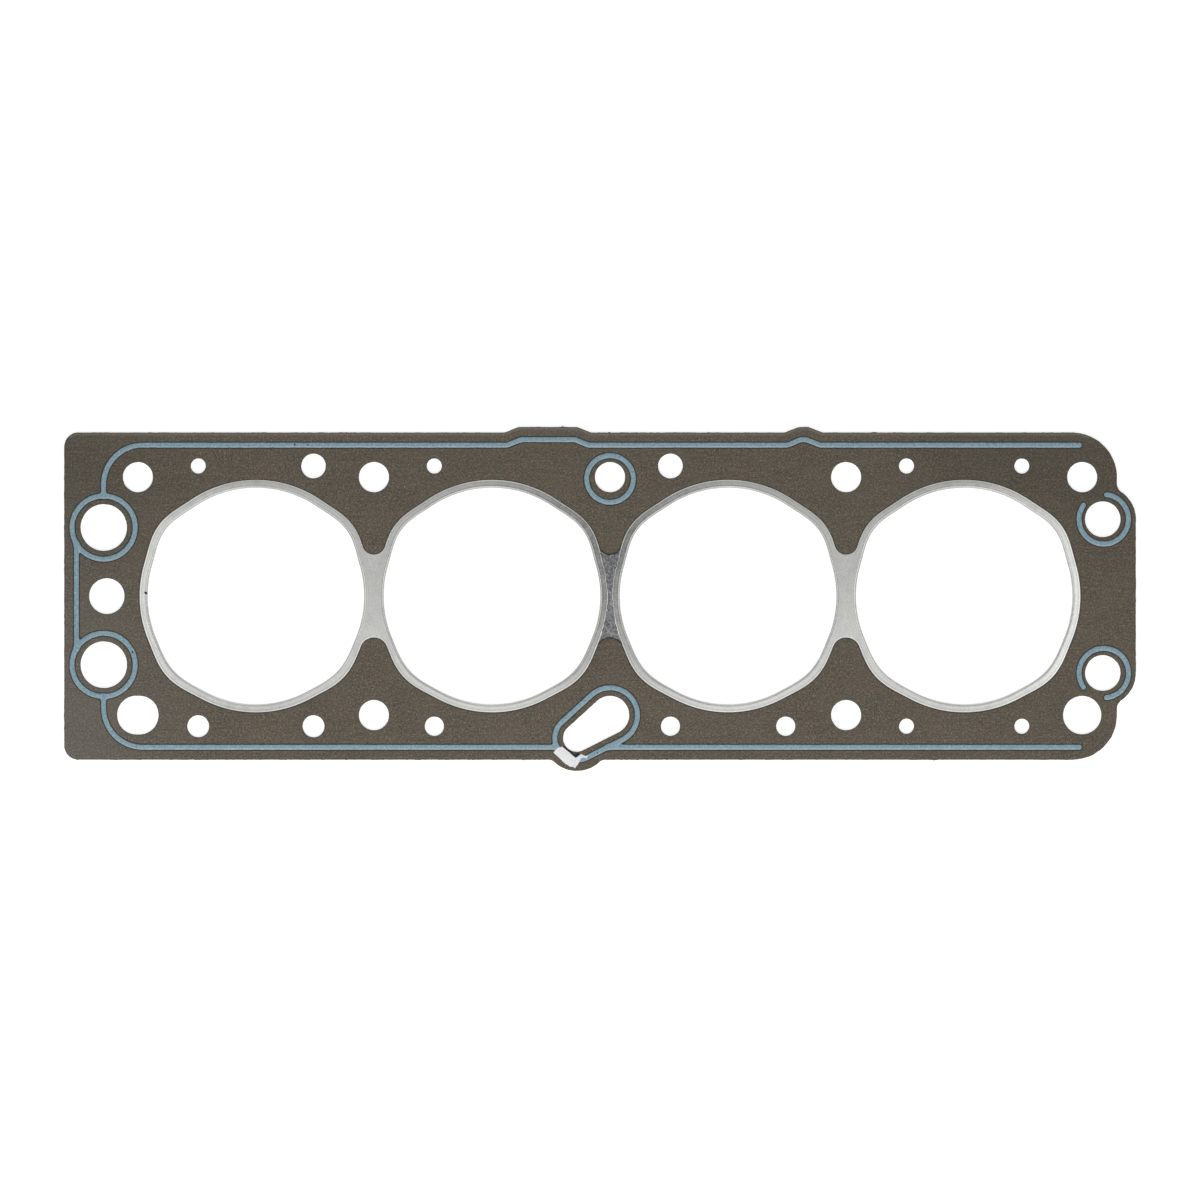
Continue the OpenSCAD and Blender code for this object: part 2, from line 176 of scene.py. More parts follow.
def bare_bridge(r):
    """Bare part of the middle bridge, between the two sheets."""
    h = PITCH / 2
    return join(flange_edge(h, r, 180 + TIP_DOWN, 180 - TIP_UP), tip_upper(0, r),
                flange_edge(-h, r, TIP_UP, -TIP_DOWN), tip_lower(0, r))


def all_edge(grow):
    """Edge round all four bores and the bridges between them, moved outward by grow."""
    r = FLANGE_R + grow
    parts = [bore_edge(bore_x(3), r, SWELL, TIP_DOWN - 180, 180 - TIP_UP)]
    for i in (2, 1):
        parts += [tip_upper(bore_x(i) + PITCH / 2, r),
                  bore_edge(bore_x(i), r, SWELL, TIP_UP, 180 - TIP_UP)]
    parts += [tip_upper(-PITCH, r), bore_edge(bore_x(0), r, SWELL, TIP_UP, 360 - TIP_DOWN)]
    for i in (1, 2):
        parts += [tip_lower(bore_x(i) - PITCH / 2, r),
                  bore_edge(bore_x(i), r, SWELL, 180 + TIP_DOWN, 360 - TIP_DOWN)]
    return join(*parts, tip_lower(PITCH, r))


def join(*parts):
    """One closed loop of several paths, without the points that they share."""
    p = np.concatenate(parts)
    keep = np.linalg.norm(p - np.roll(p, 1, axis=0), axis=1) > 1e-4
    return p[keep]


def unit(v):
    return v / np.linalg.norm(v)


def rounded(corners):
    """A path whose corners (x, y, radius) are rounded."""
    out = []
    for i, (x, y, r) in enumerate(corners):
        c = np.array([x, y], float)
        if r == 0:
            out.append(c[None])
            continue
        u = unit(np.array(corners[i - 1][:2]) - c)
        v = unit(np.array(corners[i + 1][:2]) - c)
        half = math.degrees(math.acos(np.clip(u @ v, -1, 1))) / 2
        m = c + unit(u + v) * r / math.sin(math.radians(half))
        q = c + u * r / math.tan(math.radians(half)) - m
        a = math.degrees(math.atan2(q[1], q[0]))
        turn = (-1 if u[0] * v[1] - u[1] * v[0] > 0 else 1) * (180 - 2 * half)
        out.append(arc(m, r, a, a + turn))
    return np.concatenate(out)


def bump(x, w, inset):
    """Corners of one bump on the upper edge, from right to left, drawn inward by inset."""
    foot = w / 2 - inset * math.tan(math.atan2(BUMP_RISE, BUMP_RAMP) / 2)
    y = EDGE_Y - inset
    return [(x + foot, y, BUMP_ROUND), (x + foot - BUMP_RAMP, y + BUMP_RISE, BUMP_ROUND),
            (x - foot + BUMP_RAMP, y + BUMP_RISE, BUMP_ROUND), (x - foot, y, BUMP_ROUND)]


def upper_bumps(inset):
    return bump(*NARROW_BUMP, inset) + bump(*WIDE_BUMP, inset)


def outline():
    fillet = np.array([NECK_X + NECK_FILLET_R, 0])
    fillet[1] = OIL_HOLE[1] + math.sqrt((LOBE_R + NECK_FILLET_R) ** 2 - (fillet[0] - OIL_HOLE[0]) ** 2)
    a = math.degrees(math.atan2(fillet[1] - OIL_HOLE[1], fillet[0] - OIL_HOLE[0]))
    down, corner = np.array([1, -1]), np.array([NECK_X - RIGHT_CORNER_R, EDGE_Y - RIGHT_CORNER_R])
    y = -EDGE_Y - SLOT_FILLET_R
    dx = math.sqrt((SLOT_BUMP_R + SLOT_FILLET_R) ** 2 - (y - SLOT_SMALL[1]) ** 2)
    b = math.degrees(math.atan2(SLOT_SMALL[1] - y, dx))
    return join(
        arc((SLOT_SMALL[0] - dx, y), SLOT_FILLET_R, 90, b),
        arc(SLOT_SMALL, SLOT_BUMP_R, 180 + b, 360 - b),
        arc((SLOT_SMALL[0] + dx, y), SLOT_FILLET_R, 180 - b, 90),
        arc(corner * down, RIGHT_CORNER_R, -90, 0),
        arc(fillet * down, NECK_FILLET_R, 180, 180 - a),
        arc(OIL_HOLE * down, LOBE_R, -a, 0),
        arc(OIL_HOLE, LOBE_R, 0, a),
        arc(fillet, NECK_FILLET_R, 180 + a, 180),
        arc(corner, RIGHT_CORNER_R, 0, 90),
        rounded([(bore_x(3), EDGE_Y, 0)] + upper_bumps(0)
                + [(LEFT_X, EDGE_Y, LEFT_CORNER_R), (LEFT_X, -EDGE_Y, LEFT_CORNER_R),
                   (-END_X, -EDGE_Y, 0)]))


def tapered(c1, r1, c2, r2):
    """Tapered slot between two round ends."""
    d = np.asarray(c2, float) - c1
    along = math.degrees(math.atan2(d[1], d[0]))
    lean = math.degrees(math.acos((r1 - r2) / np.linalg.norm(d)))
    return join(arc(c1, r1, along + lean, along + 360 - lean), arc(c2, r2, along - lean, along + lean))


def round_holes():
    """Centre and radius of every round hole."""
    holes = [((i * PITCH, BOLT_Y), BOLT_R) for i in (-2, -1, 0, 1, 2)]
    holes += [((s * PITCH, -BOLT_Y), BOLT_R) for s in (-1, 1)]
    holes += [((END_X, -BOLT_Y), DOWEL_R)]
    for row, s in ((COOLANT_UPPER, 1), (COOLANT_LOWER, -1)):
        holes += [((bore_x(i) + k * COOLANT_SIDE, s * COOLANT_Y), d / 2) for i, k, d in row]
    for s in (-1, 1):
        holes += [((c[0], s * c[1]), r) for c, r in ((LEFT_HOLE, LEFT_HOLE_R), (OIL_HOLE, OIL_HOLE_R))]
    return holes + [(tuple(MID_HOLE), MID_HOLE_R)]


def hole_loops():
    loops = [arc(c, r, 0, 360)[:-1] for c, r in round_holes()]
    low = np.array([-END_X, -BOLT_Y])
    loops.append(tapered(low - (OBLONG_HALF, 0), OBLONG_R, low + (OBLONG_HALF, 0), OBLONG_R))
    loops.append(tapered(SLOT_BIG, SLOT_BIG_R, SLOT_SMALL, SLOT_SMALL_R))
    return loops


def bead_paths():
    """The centrelines of each bead, as branches of [points, closed]."""
    y = EDGE_Y - BEAD_INSET
    ring_r = LEFT_HOLE_R + BEAD_STANDOFF
    link_y = LEFT_HOLE[1] - math.sqrt(ring_r ** 2 - (LINK_X - LEFT_HOLE[0]) ** 2)
    big_r, small_r = SLOT_BIG_R + BEAD_STANDOFF, SLOT_SMALL_R + BEAD_STANDOFF
    join_left = SLOT_SMALL[0] - math.sqrt(small_r ** 2 - (y + SLOT_SMALL[1]) ** 2)
    d = SLOT_SMALL - SLOT_BIG
    normal = math.degrees(math.atan2(d[1], d[0]) + math.acos((big_r - small_r) / np.linalg.norm(d)))
    side = SLOT_BIG + polar(big_r, normal)
    join_right = side[0] + (side[1] + y) * math.tan(math.radians(normal))
    x = LEFT_HOLE[0]
    upper = rounded([(BEAD_END_X, y, 0)] + upper_bumps(BEAD_INSET)
                    + [(x, y, BEAD_CORNER_R), (x, LEFT_HOLE[1] + ring_r, 0)])
    lower = rounded([(x, -LEFT_HOLE[1] - ring_r, 0), (x, -y, BEAD_CORNER_R), (join_left, -y, 0)])
    edge = [upper, closed(arc(LEFT_HOLE, ring_r, 0, 360)),
            np.array([(LINK_X, link_y), (LINK_X, -link_y)]),
            closed(arc(LEFT_HOLE * (1, -1), ring_r, 0, 360)), lower,
            closed(tapered(SLOT_BIG, big_r, SLOT_SMALL, small_r)),
            np.array([(join_right, -y), (BEAD_END_X, -y)])]
    beads = {"edge_bead": edge,
             "bolt_bead": [arc((0, BOLT_BEAD_Y), BOLT_R + BEAD_STANDOFF, 0, 360)]}
    for name, s in (("oil_bead_upper", 1), ("oil_bead_lower", -1)):
        c = OIL_HOLE * (1, s) + (OIL_BEAD_SHIFT, 0)
        beads[name] = [arc(c, OIL_BEAD_R, s * OIL_BEAD_STOP, s * (OIL_BEAD_START + 360))]
    return beads


def closed(p):
    return np.concatenate([p, p[:1]])


# Distance fields on a grid, and the lines of equal distance in them
STEP = 0.2
GRID_X = np.arange(LEFT_X - 3, END_X + 24, STEP)
GRID_Y = np.arange(-EDGE_Y - 5, EDGE_Y + 5, STEP)
FAR = 9.0
REACH = 3.0
LINE_SPACING = 0.4


def to_segment(x, y, a, b):
    """Distance of the points x, y from the segment a to b, or from each of several."""
    d = b - a
    x, y, dx, dy = x - a[..., 0], y - a[..., 1], d[..., 0], d[..., 1]
    t = np.clip((x * dx + y * dy) / (dx * dx + dy * dy), 0, 1)
    return np.hypot(x - t * dx, y - t * dy)


def distance(path):
    """Distance from a path to every grid point near it."""
    field = np.full((len(GRID_Y), len(GRID_X)), FAR)
    for a, b in zip(path[:-1], path[1:]):
        lo, hi = np.minimum(a, b) - REACH, np.maximum(a, b) + REACH
        i0, i1 = np.searchsorted(GRID_X, [lo[0], hi[0]])
        j0, j1 = np.searchsorted(GRID_Y, [lo[1], hi[1]])
        near = to_segment(GRID_X[None, i0:i1], GRID_Y[j0:j1, None], a, b)
        field[j0:j1, i0:i1] = np.minimum(field[j0:j1, i0:i1], near)
    return field


def smooth(t):
    return t * t * (3 - 2 * t)


def smooth_min(a, b, k):
    h = np.maximum(k - np.abs(a - b), 0) / k
    return np.minimum(a, b) - h * h * k / 4


def between(grid, j, i, t, s):
    """Values a part t of a row and a part s of a column on from row j and column i."""
    low = grid[j, i] * (1 - s) + grid[j, i + 1] * s
    high = grid[j + 1, i] * (1 - s) + grid[j + 1, i + 1] * s
    return low * (1 - t) + high * t


def cloud(cell, seed):
    """Smooth noise from -1 to 1 on the grid, with lumps of about one cell, in mm."""
    rng = np.random.default_rng(seed)
    nx, ny = (int(np.ptp(g) / cell) + 3 for g in (GRID_X, GRID_Y))
    lattice = rng.uniform(-1, 1, (ny, nx))
    u, v = (GRID_X - GRID_X[0]) / cell, (GRID_Y - GRID_Y[0]) / cell
    i, j = u.astype(int), v.astype(int)
    return between(lattice, j[:, None], i, smooth(v - j)[:, None], smooth(u - i))


# The sides of a grid cell that a line crosses, for each set of corners inside it.
# Sides are 0 bottom, 1 right, 2 top and 3 left.
CROSSINGS = {1: [(0, 3)], 2: [(1, 0)], 3: [(1, 3)], 4: [(2, 1)], 5: [(0, 3), (2, 1)], 6: [(2, 0)],
             7: [(2, 3)], 8: [(3, 2)], 9: [(0, 2)], 10: [(1, 0), (3, 2)], 11: [(1, 2)], 12: [(3, 1)],
             13: [(0, 1)], 14: [(3, 0)]}


def contours(field, level):
    """Closed lines where the field is at a level, the lower side on their left."""
    low = (field < level).astype(np.uint8)
    code = low[:-1, :-1] + 2 * low[:-1, 1:] + 4 * low[1:, 1:] + 8 * low[1:, :-1]
    after = {}
    for j, i in zip(*np.nonzero((code > 0) & (code < 15))):
        cell = ((j, i, 0), (j, i + 1, 1), (j + 1, i, 0), (j, i, 1))
        for start, end in CROSSINGS[int(code[j, i])]:
            after[cell[start]] = cell[end]
    loops = []
    while after:
        first, side = after.popitem()
        keys = [first]
        while side != first:
            keys.append(side)
            side = after.pop(side)
        k = np.array(keys)
        j, i, up = k[:, 0], k[:, 1], k[:, 2]
        a, b = field[j, i], field[j + up, i + 1 - up]
        t = (level - a) / (b - a)
        p = np.stack([GRID_X[i] + STEP * t * (1 - up), GRID_Y[j] + STEP * t * up], 1)
        loops.append(resample(p, LINE_SPACING))
    return loops


def resample(loop, spacing):
    """A closed loop with its points evenly spaced."""
    p = closed(loop)
    s = np.concatenate([[0], np.cumsum(np.linalg.norm(np.diff(p, axis=0), axis=1))])
    n = max(8, int(round(s[-1] / spacing)))
    t = np.arange(n) * s[-1] / n
    return np.stack([np.interp(t, s, p[:, k]) for k in (0, 1)], 1)


def outward(loop):
    """Unit normals of a closed loop that runs anticlockwise, pointing out of it."""
    d = np.roll(loop, -1, axis=0) - np.roll(loop, 1, axis=0)
    n = np.stack([d[:, 1], -d[:, 0]], 1)
    return n / np.linalg.norm(n, axis=1)[:, None]


def area(loop):
    x, y = loop.T
    return (x @ np.roll(y, -1) - y @ np.roll(x, -1)) / 2


def sides(triangle):
    a, b, c = triangle
    return frozenset((a, b)), frozenset((b, c)), frozenset((c, a))


class Plate:
    """Closed loops with a height and a mark at each point, filled with triangles. A mark above 0
    stands for a darker place, such as grime, dark grains and painted shade; one below 0 for a painted
    highlight."""

    def __init__(self):
        self.points, self.z, self.mark, self.edges, self.count = [], [], [], [], 0
        self.walls = set()

    def loop(self, points, z, mark=0.0, wall=False):
        """Adds a loop and returns the numbers of its points. A wall bounds the filled region."""
        ids = np.arange(self.count, self.count + len(points))
        self.scatter(points, z, mark)
        pairs = list(zip(ids.tolist(), np.roll(ids, -1).tolist()))
        self.edges += pairs
        if wall:
            self.walls.update(frozenset(p) for p in pairs)
        return ids

    def scatter(self, points, z, mark=0.0):
        """Adds points that no edge joins yet."""
        n = len(points)
        self.points.append(points)
        self.z.append(np.broadcast_to(z, n).astype(float))
        self.mark.append(np.broadcast_to(mark, n).astype(float))
        self.count += n

    def fill(self, seed):
        """Triangles, seen from above, of the walled region that holds the seed point."""
        p = np.concatenate(self.points)
        out = delaunay_2d_cdt([Vector(q) for q in p], self.edges, [], 0, 1e-7, True)
        if len(out[0]) != len(p):
            raise RuntimeError(f"loops cross: {len(out[0]) - len(p)} points more")
        tris = [tuple(f) for f in out[2]]
        owners = {}
        for t, triangle in enumerate(tris):
            for side in sides(triangle):
                owners.setdefault(side, []).append(t)
        q = p[np.array(tris)] - np.asarray(seed, float)
        after = np.roll(q, -1, axis=1)
        cross = q[..., 0] * after[..., 1] - q[..., 1] * after[..., 0]
        start = int(np.nonzero(np.all(cross >= 0, axis=1))[0][0])
        found, todo = {start}, [start]
        while todo:
            for side in sides(tris[todo.pop()]):
                for t in () if side in self.walls else owners[side]:
                    if t not in found:
                        found.add(t)
                        todo.append(t)
        return [tris[t] for t in sorted(found)]

    def vertices(self):
        return np.column_stack([np.concatenate(self.points), np.concatenate(self.z)])

    def marks(self):
        return np.concatenate(self.mark)


TURNED = (1, 1, -1)


class Body:
    """Vertices, faces and marks of one piece, in mm."""

    def __init__(self):
        self.verts, self.faces, self.mark, self.count = [], [], [], 0

    def add(self, verts, faces=(), mark=0.0):
        """Adds vertices with faces among them and returns the first one's number."""
        first = self.count
        self.verts.append(np.asarray(verts, float))
        self.mark.append(np.broadcast_to(mark, len(verts)).astype(float))
        self.faces += [tuple(first + i for i in f) for f in faces]
        self.count += len(verts)
        return first

    def band(self, lower, upper):
        """Joins two closed rows of vertices, seen from outside with upper on top."""
        rows = np.stack([lower, np.roll(lower, -1), np.roll(upper, -1), upper], 1)
        self.faces += [tuple(face) for face in rows.tolist()]

    def mirrored(self):
        """The same piece turned over, for the gasket's other face."""
        other = Body()
        other.verts = [v * TURNED for v in self.verts]
        other.faces = [f[::-1] for f in self.faces]
        other.mark, other.count = self.mark, self.count
        return other


def flipped(tris):
    return [t[::-1] for t in tris]


def closed_body(top, bottom, seed, walls):
    """A body between two plates, with walls given as an upper row, a lower row and a side: 1 for
    an outer wall, -1 for the wall of an opening."""
    body = Body()
    body.add(top.vertices(), top.fill(seed), top.marks())
    low = body.add(bottom.vertices(), flipped(bottom.fill(seed)), bottom.marks())
    for upper, lower, side in walls:
        body.band(*((lower + low, upper) if side > 0 else (upper, lower + low)))
    return body


def rough(n, spacing, size, seed):
    """Smooth noise of about unit strength along a closed loop of n points."""
    rng = np.random.default_rng(seed)
    k = max(3, int(round(n * spacing / size)))
    values = rng.normal(0, 1, k)
    t = np.arange(n) * k / n
    i = t.astype(int)
    s = smooth(t - i)
    return values[i] * (1 - s) + values[(i + 1) % k] * s


def anticlockwise(loop):
    return loop if area(loop) > 0 else loop[::-1]


def uneven(loop, spacing, amount, size, seed):
    """An anticlockwise loop, its points moved in and out by about an amount."""
    return loop + outward(loop) * (amount * rough(len(loop), spacing, size, seed))[:, None]


# Punched edges: how far a ring of points lies in from the edge, and how far below the face
EDGE_PROFILE = ((0.0, 0.16), (0.08, 0.07), (0.22, 0.025), (0.5, 0.0), (0.8, -0.012),
                (0.95, -0.006), (1.1, 0.0))
HOLE_PROFILE = ((0.0, 0.12), (0.08, 0.045), (0.2, 0.012), (0.35, 0.0))
EDGE_SPACING = 0.3
EDGE_FUZZ, HOLE_FUZZ, FUZZ_SIZES, FUZZ_REACH = 0.035, 0.02, (0.7, 2.5), 0.15
EDGE_DIRT, EDGE_DIRT_REACH = 0.55, 0.12
# The painted highlight along the upper edge: distance from the edge, how light, and how far down it goes
HIGHLIGHT_AT, EDGE_HIGHLIGHT, HIGHLIGHT_DOWN = (0.1, 0.3, 0.5, 0.95, 1.1), (0.0, 0.8, 1.05, 0.85, 0.12), 2.0
# Tufts of fibre on the long edges: place along the upper or the lower edge, and length
TUFTS_UP = ((-158.0, 0.15), (-96.0, 0.12), (-17.3, 0.32), (-0.2, 0.3), (35.8, 0.3), (96.0, 0.12),
            (141.0, 0.15))
TUFTS_DOWN = ((-171.0, 0.18), (-151.0, 0.2), (-133.0, 0.15), (-118.0, 0.2), (-96.0, 0.3),
              (-74.0, 0.15), (-31.6, 0.28), (-25.8, 0.25), (4.2, 0.25), (10.1, 0.25),
              (20.8, 0.3), (57.0, 0.15), (118.0, 0.18))
TUFT_HALF, TUFT_EDGE = 0.35, 0.1
# The facing's window ends under the flanges, with painted shade at its edge. Beside a flange's edge
# and beside a bead: distance out, height or depth, and painted shade, which beside a bead also
# stands for the compound's dark bleed
WINDOW_OVERLAP, WINDOW_SHADE = 0.3, 0.5
FOOT_PROFILE = ((-0.02, PRESSED_Z, 1.0), (0.04, FACING_Z - 0.045, 0.9), (0.16, FACING_Z - 0.01, 0.25),
                (0.4, FACING_Z, 0.0))
GROOVE_PROFILE = ((-0.2, 0.05, 0.8), (0.1, 0.05, 1.0), (0.26, 0.02, 0.75), (0.42, 0.0, 0.0))
# A place on the facing away from all holes
FACING_SEED = (-100.0, 47.0)


def tufts(loop):
    """How far each point of the outline stands out in a tuft."""
    out = np.zeros(len(loop))
    for places, s in ((TUFTS_UP, 1), (TUFTS_DOWN, -1)):
        on_edge = s * loop[:, 1] > EDGE_Y - TUFT_EDGE
        for x, length in places:
            out += on_edge * length * np.clip(1 - np.abs(loop[:, 0] - x) / TUFT_HALF, 0, 1)
    return out


def facing_body(fields):
    """One facing, as it lies on top of the core."""
    top, bottom = Plate(), Plate()
    walls = []

    def punched(loop, profile, side, fuzz, seed):
        """Adds the outline, side 1, or a hole, side -1, with its rounded, fuzzy and darker edge, and a
        painted highlight along the upper edge.
        """
        loop = resample(loop, EDGE_SPACING)
        out = outward(loop)
        wave = sum(fuzz * rough(len(loop), EDGE_SPACING, size, seed + k)
                   for k, size in enumerate(FUZZ_SIZES))
        for k, (d, drop) in enumerate(profile):
            points = loop + out * (side * (wave * math.exp(-d / FUZZ_REACH) - d))[:, None]
            mark = EDGE_DIRT * math.exp(-d / EDGE_DIRT_REACH)
            if side > 0:
                # Marks below 0 here are a painted highlight along the upper edge.
                mark = mark - np.interp(d, HIGHLIGHT_AT, EDGE_HIGHLIGHT) * (points[:, 1] > EDGE_Y - HIGHLIGHT_DOWN)
            if side > 0 and k == 0:
                points = points + out * tufts(loop)[:, None]
            ids = top.loop(points, FACING_Z - drop, mark, wall=(k == 0))
            if k == 0:
                walls.append((ids, bottom.loop(points, CORE_Z, mark, wall=True), side))

    def cut(loop, mark=0.0):
        """Adds an opening whose edge lies hidden under the metal."""
        walls.append((top.loop(loop, PRESSED_Z, mark, wall=True), bottom.loop(loop, CORE_Z, wall=True), -1))

    punched(outline(), EDGE_PROFILE, 1, EDGE_FUZZ, SEED)
    for n, loop in enumerate(hole_loops()):
        punched(loop, HOLE_PROFILE, -1, HOLE_FUZZ, SEED + 10 * (n + 1))
    for i in range(4):
        cut(bore_loop(bore_x(i), PUNCHED_R, 2))
    cut(anticlockwise(bare_bridge(FLANGE_R - WINDOW_OVERLAP)), WINDOW_SHADE)
    # Painted shade in the gap beside the flanges' edges.
    for d, z, mark in FOOT_PROFILE:
        top.loop(all_edge(EDGE_GAP + d), z, mark)
    for field in fields.values():
        # Painted shade beside the beads, together with the compound's dark bleed.
        for offset, drop, mark in GROOVE_PROFILE:
            for loop in contours(field, BEAD_HALF + offset):
                top.loop(loop, FACING_Z - drop, mark)
    return closed_body(top, bottom, FACING_SEED, walls)


# A bead's cross-section: level in the distance field, height, painted shade with the compound's dark
# bleed at its foot, and share of the painted highlight
BEAD_PROFILE = ((0.0, FACING_Z - 0.03, 1.0, 0.0), (-0.04, FACING_Z + 0.04, 0.6, 0.5),
                (-0.16, FACING_Z + 0.085, 0.1, 1.0), (-0.4, BEAD_Z - 0.012, 0.0, 0.75),
                (-0.7, BEAD_Z, 0.0, 0.0))
FOOT_Z = FACING_Z - 0.05
# The painted highlight along a bead's lower side: its mean, and the height and length of its waves
BEAD_HIGHLIGHT, BEAD_HIGHLIGHT_WAVES = 0.65, ((0.25, 0.5), (0.2, 25.0))


def painted_highlight(loop):
    """Painted highlight along the lower side of a bead, broken, strongest where its edge faces the front.
    """
    broken = BEAD_HIGHLIGHT
    for k, (height, size) in enumerate(BEAD_HIGHLIGHT_WAVES):
        broken = broken + height * rough(len(loop), LINE_SPACING, size, SEED + 90 + k)
    return np.clip(-outward(loop)[:, 1], 0, 1) ** 2 * np.clip(broken, 0, 1)


def bead_body(field, seed):
    """One bead: domed, its foot in the groove of the facing."""
    top, foot = Plate(), Plate()
    walls = []
    for level, z, mark, highlight_share in BEAD_PROFILE:
        for loop in contours(field, BEAD_HALF + level):
            ids = top.loop(loop, z, mark - highlight_share * painted_highlight(loop), wall=(level == 0))
            if level == 0:
                # The foot is dark all round: painted shade with the compound's dark bleed.
                walls.append((ids, foot.loop(loop, FOOT_Z, 1.0, wall=True), 1))
    return closed_body(top, foot, seed, walls)


# A fire ring's flange. Inner rings of points lie out from the bore's edge, outer ones in from
# the flange's edge, each with its height and its painted shade
INNER_PROFILE = ((0.0, 0.33, 0.3), (0.03, 0.44, 0.2), (0.08, 0.55, 0.1), (0.16, 0.64, 0.1),
                 (0.27, 0.705, 0.1), (0.40, 0.755, 0.2), (0.54, 0.784, 0.35), (0.68, 0.794, 0.5),
                 (0.80, 0.7965, 0.5), (0.95, 0.797, 0.45), (1.15, 0.797, 0.4), (1.35, 0.797, 0.25))
OUTER_PROFILE = ((0.0, 0.70, 0.5), (0.05, 0.76, 0.2), (0.14, 0.79, 0.0), (0.3, 0.797, 0.0),
                 (0.5, 0.7968, 0.25), (0.75, 0.7962, 0.5), (1.0, 0.7968, 0.2), (1.35, 0.797, 0.0))
# Painted shade: how far the bore wall's shade reaches, and the rolled edge's in general, at its back,
# near the middle bridge, where it stands for a darker reflection, and how much less at both ends
WALL_SHADE = 0.22
ROLL_SHADE, BACK_SHADE = 0.45, 0.6
MIDDLE_REFLECTION, MIDDLE_HALF = 0.9, 20
LIT_END, END_START, END_RUN = 0.8, 100, 50
# Unevenness of the sheet's edge beside the bare bridge, and the box that holds that edge
RAGGED, RAGGED_REACH, RIPPLE_SIZES = 0.13, 0.7, (0.7, 1.1, 1.9, 3.1)
BARE_BOX = (8, 13.5)
# The web between a sheet's two bores is flat, so its outer rings of points have no marks
WEB_HALF, WEB_Z, WEB_FROM, WEB_TO = 6.0, RING_Z - 0.003, 0.3, 1.2


def roll_shade(p):
    """Painted shade on the rolled edge: most at the middle bridge, as a darker reflection, least at both
    ends and in front, towards the light.
    """
    x, y = p.T
    middle = MIDDLE_REFLECTION * np.exp(-(x / MIDDLE_HALF) ** 2)
    end = LIT_END * np.clip((np.abs(x) - END_START) / END_RUN, 0, 1)
    back = BACK_SHADE * y / BORE_R * (np.abs(x) > MIDDLE_HALF)
    return np.clip(ROLL_SHADE + middle - end + back, 0, 2)


def ripple(y, seed):
    """Uneven line along y, of about unit strength."""
    rng = np.random.default_rng(seed)
    waves = [np.sin(2 * np.pi * (y / size + rng.uniform())) for size in RIPPLE_SIZES]
    return np.sum(waves, axis=0) / math.sqrt(len(waves) / 2)


def ragged_edge(side, d):
    """Sheet edge drawn in by d, uneven where it borders the bare middle bridge."""
    loop = sheet_edge(side, -d)
    bare = np.all(np.abs(loop) < BARE_BOX, axis=1)
    loop[:, 0] += side * bare * RAGGED * math.exp(-d / RAGGED_REACH) * (1 + ripple(loop[:, 1], SEED + side))
    return loop


def ring_body(side):
    """A fire ring round two bores, with its flanges on both faces."""
    top, under = Plate(), Plate()
    x_mid = side * PITCH
    bores = (x_mid - PITCH / 2, x_mid + PITCH / 2)
    lips = []
    for d, z, shade_and_dirt in INNER_PROFILE:
        for x in bores:
            loop = bore_loop(x, BORE_R + d)
            # Painted shade where the lip turns down into the bore.
            mark = np.maximum(shade_and_dirt * roll_shade(loop), 1 - d / WALL_SHADE)
            ids = top.loop(loop, z, mark, wall=(d == 0))
            if d == 0:
                lips.append(ids)
    for d, z, shade_and_dirt in OUTER_PROFILE:
        loop = ragged_edge(side, d)
        flat = np.exp(-((loop[:, 0] - x_mid) / WEB_HALF) ** 2) * (WEB_FROM < d < WEB_TO)
        ids = top.loop(loop, z + (WEB_Z - z) * flat, shade_and_dirt * (1 - flat), wall=(d == 0))
        if d == 0:
            rim = ids
    rim_low = under.loop(ragged_edge(side, 0), PRESSED_Z, wall=True)
    channels = [under.loop(bore_loop(x, CHANNEL_R, 2), PRESSED_Z, wall=True) for x in bores]
    seed = (bores[0], (BORE_R + FLANGE_R) / 2)
    top_tris, under_tris = top.fill(seed), flipped(under.fill(seed))
    body = Body()
    high = body.add(top.vertices(), top_tris, top.marks())
    high_under = body.add(under.vertices(), under_tris)
    low = body.add(top.vertices() * TURNED, flipped(top_tris), top.marks())
    low_under = body.add(under.vertices() * TURNED, flipped(under_tris))
    body.band(rim_low + high_under, rim + high)
    body.band(rim + low, rim_low + low_under)
    for lip, channel in zip(lips, channels):
        body.band(lip + high, lip + low)
        body.band(channel + low_under, channel + high_under)
    return body


def inside(points, loop, margin):
    """Which points lie inside a loop, at least a margin from it, and how far all lie from it."""
    x, y = points[:, 0, None], points[:, 1, None]
    a, b = loop, np.roll(loop, -1, axis=0)
    crosses = (a[:, 1] > y) != (b[:, 1] > y)
    with np.errstate(divide="ignore", invalid="ignore"):
        at = a[:, 0] + (y - a[:, 1]) * (b[:, 0] - a[:, 0]) / (b[:, 1] - a[:, 1])
    odd = np.sum(crosses & (x < at), axis=1) % 2 == 1
    gap = to_segment(x, y, a, b).min(axis=1)
    return odd & (gap > margin), gap


# How far a grid point is shaken, as a share of the grid's spacing
SHAKE = 0.3


def grid_inside(loop, spacing, margin, seed):
    """Slightly shaken grid points inside a loop, with their distances from it."""
    low, high = loop.min(axis=0), loop.max(axis=0)
    x, y = np.meshgrid(np.arange(low[0], high[0], spacing), np.arange(low[1], high[1], spacing))
    p = np.stack([x.ravel(), y.ravel()], 1)
    p += np.random.default_rng(seed).uniform(-SHAKE, SHAKE, p.shape) * spacing
    keep, gap = inside(p, loop, margin)
    return p[keep], gap[keep]


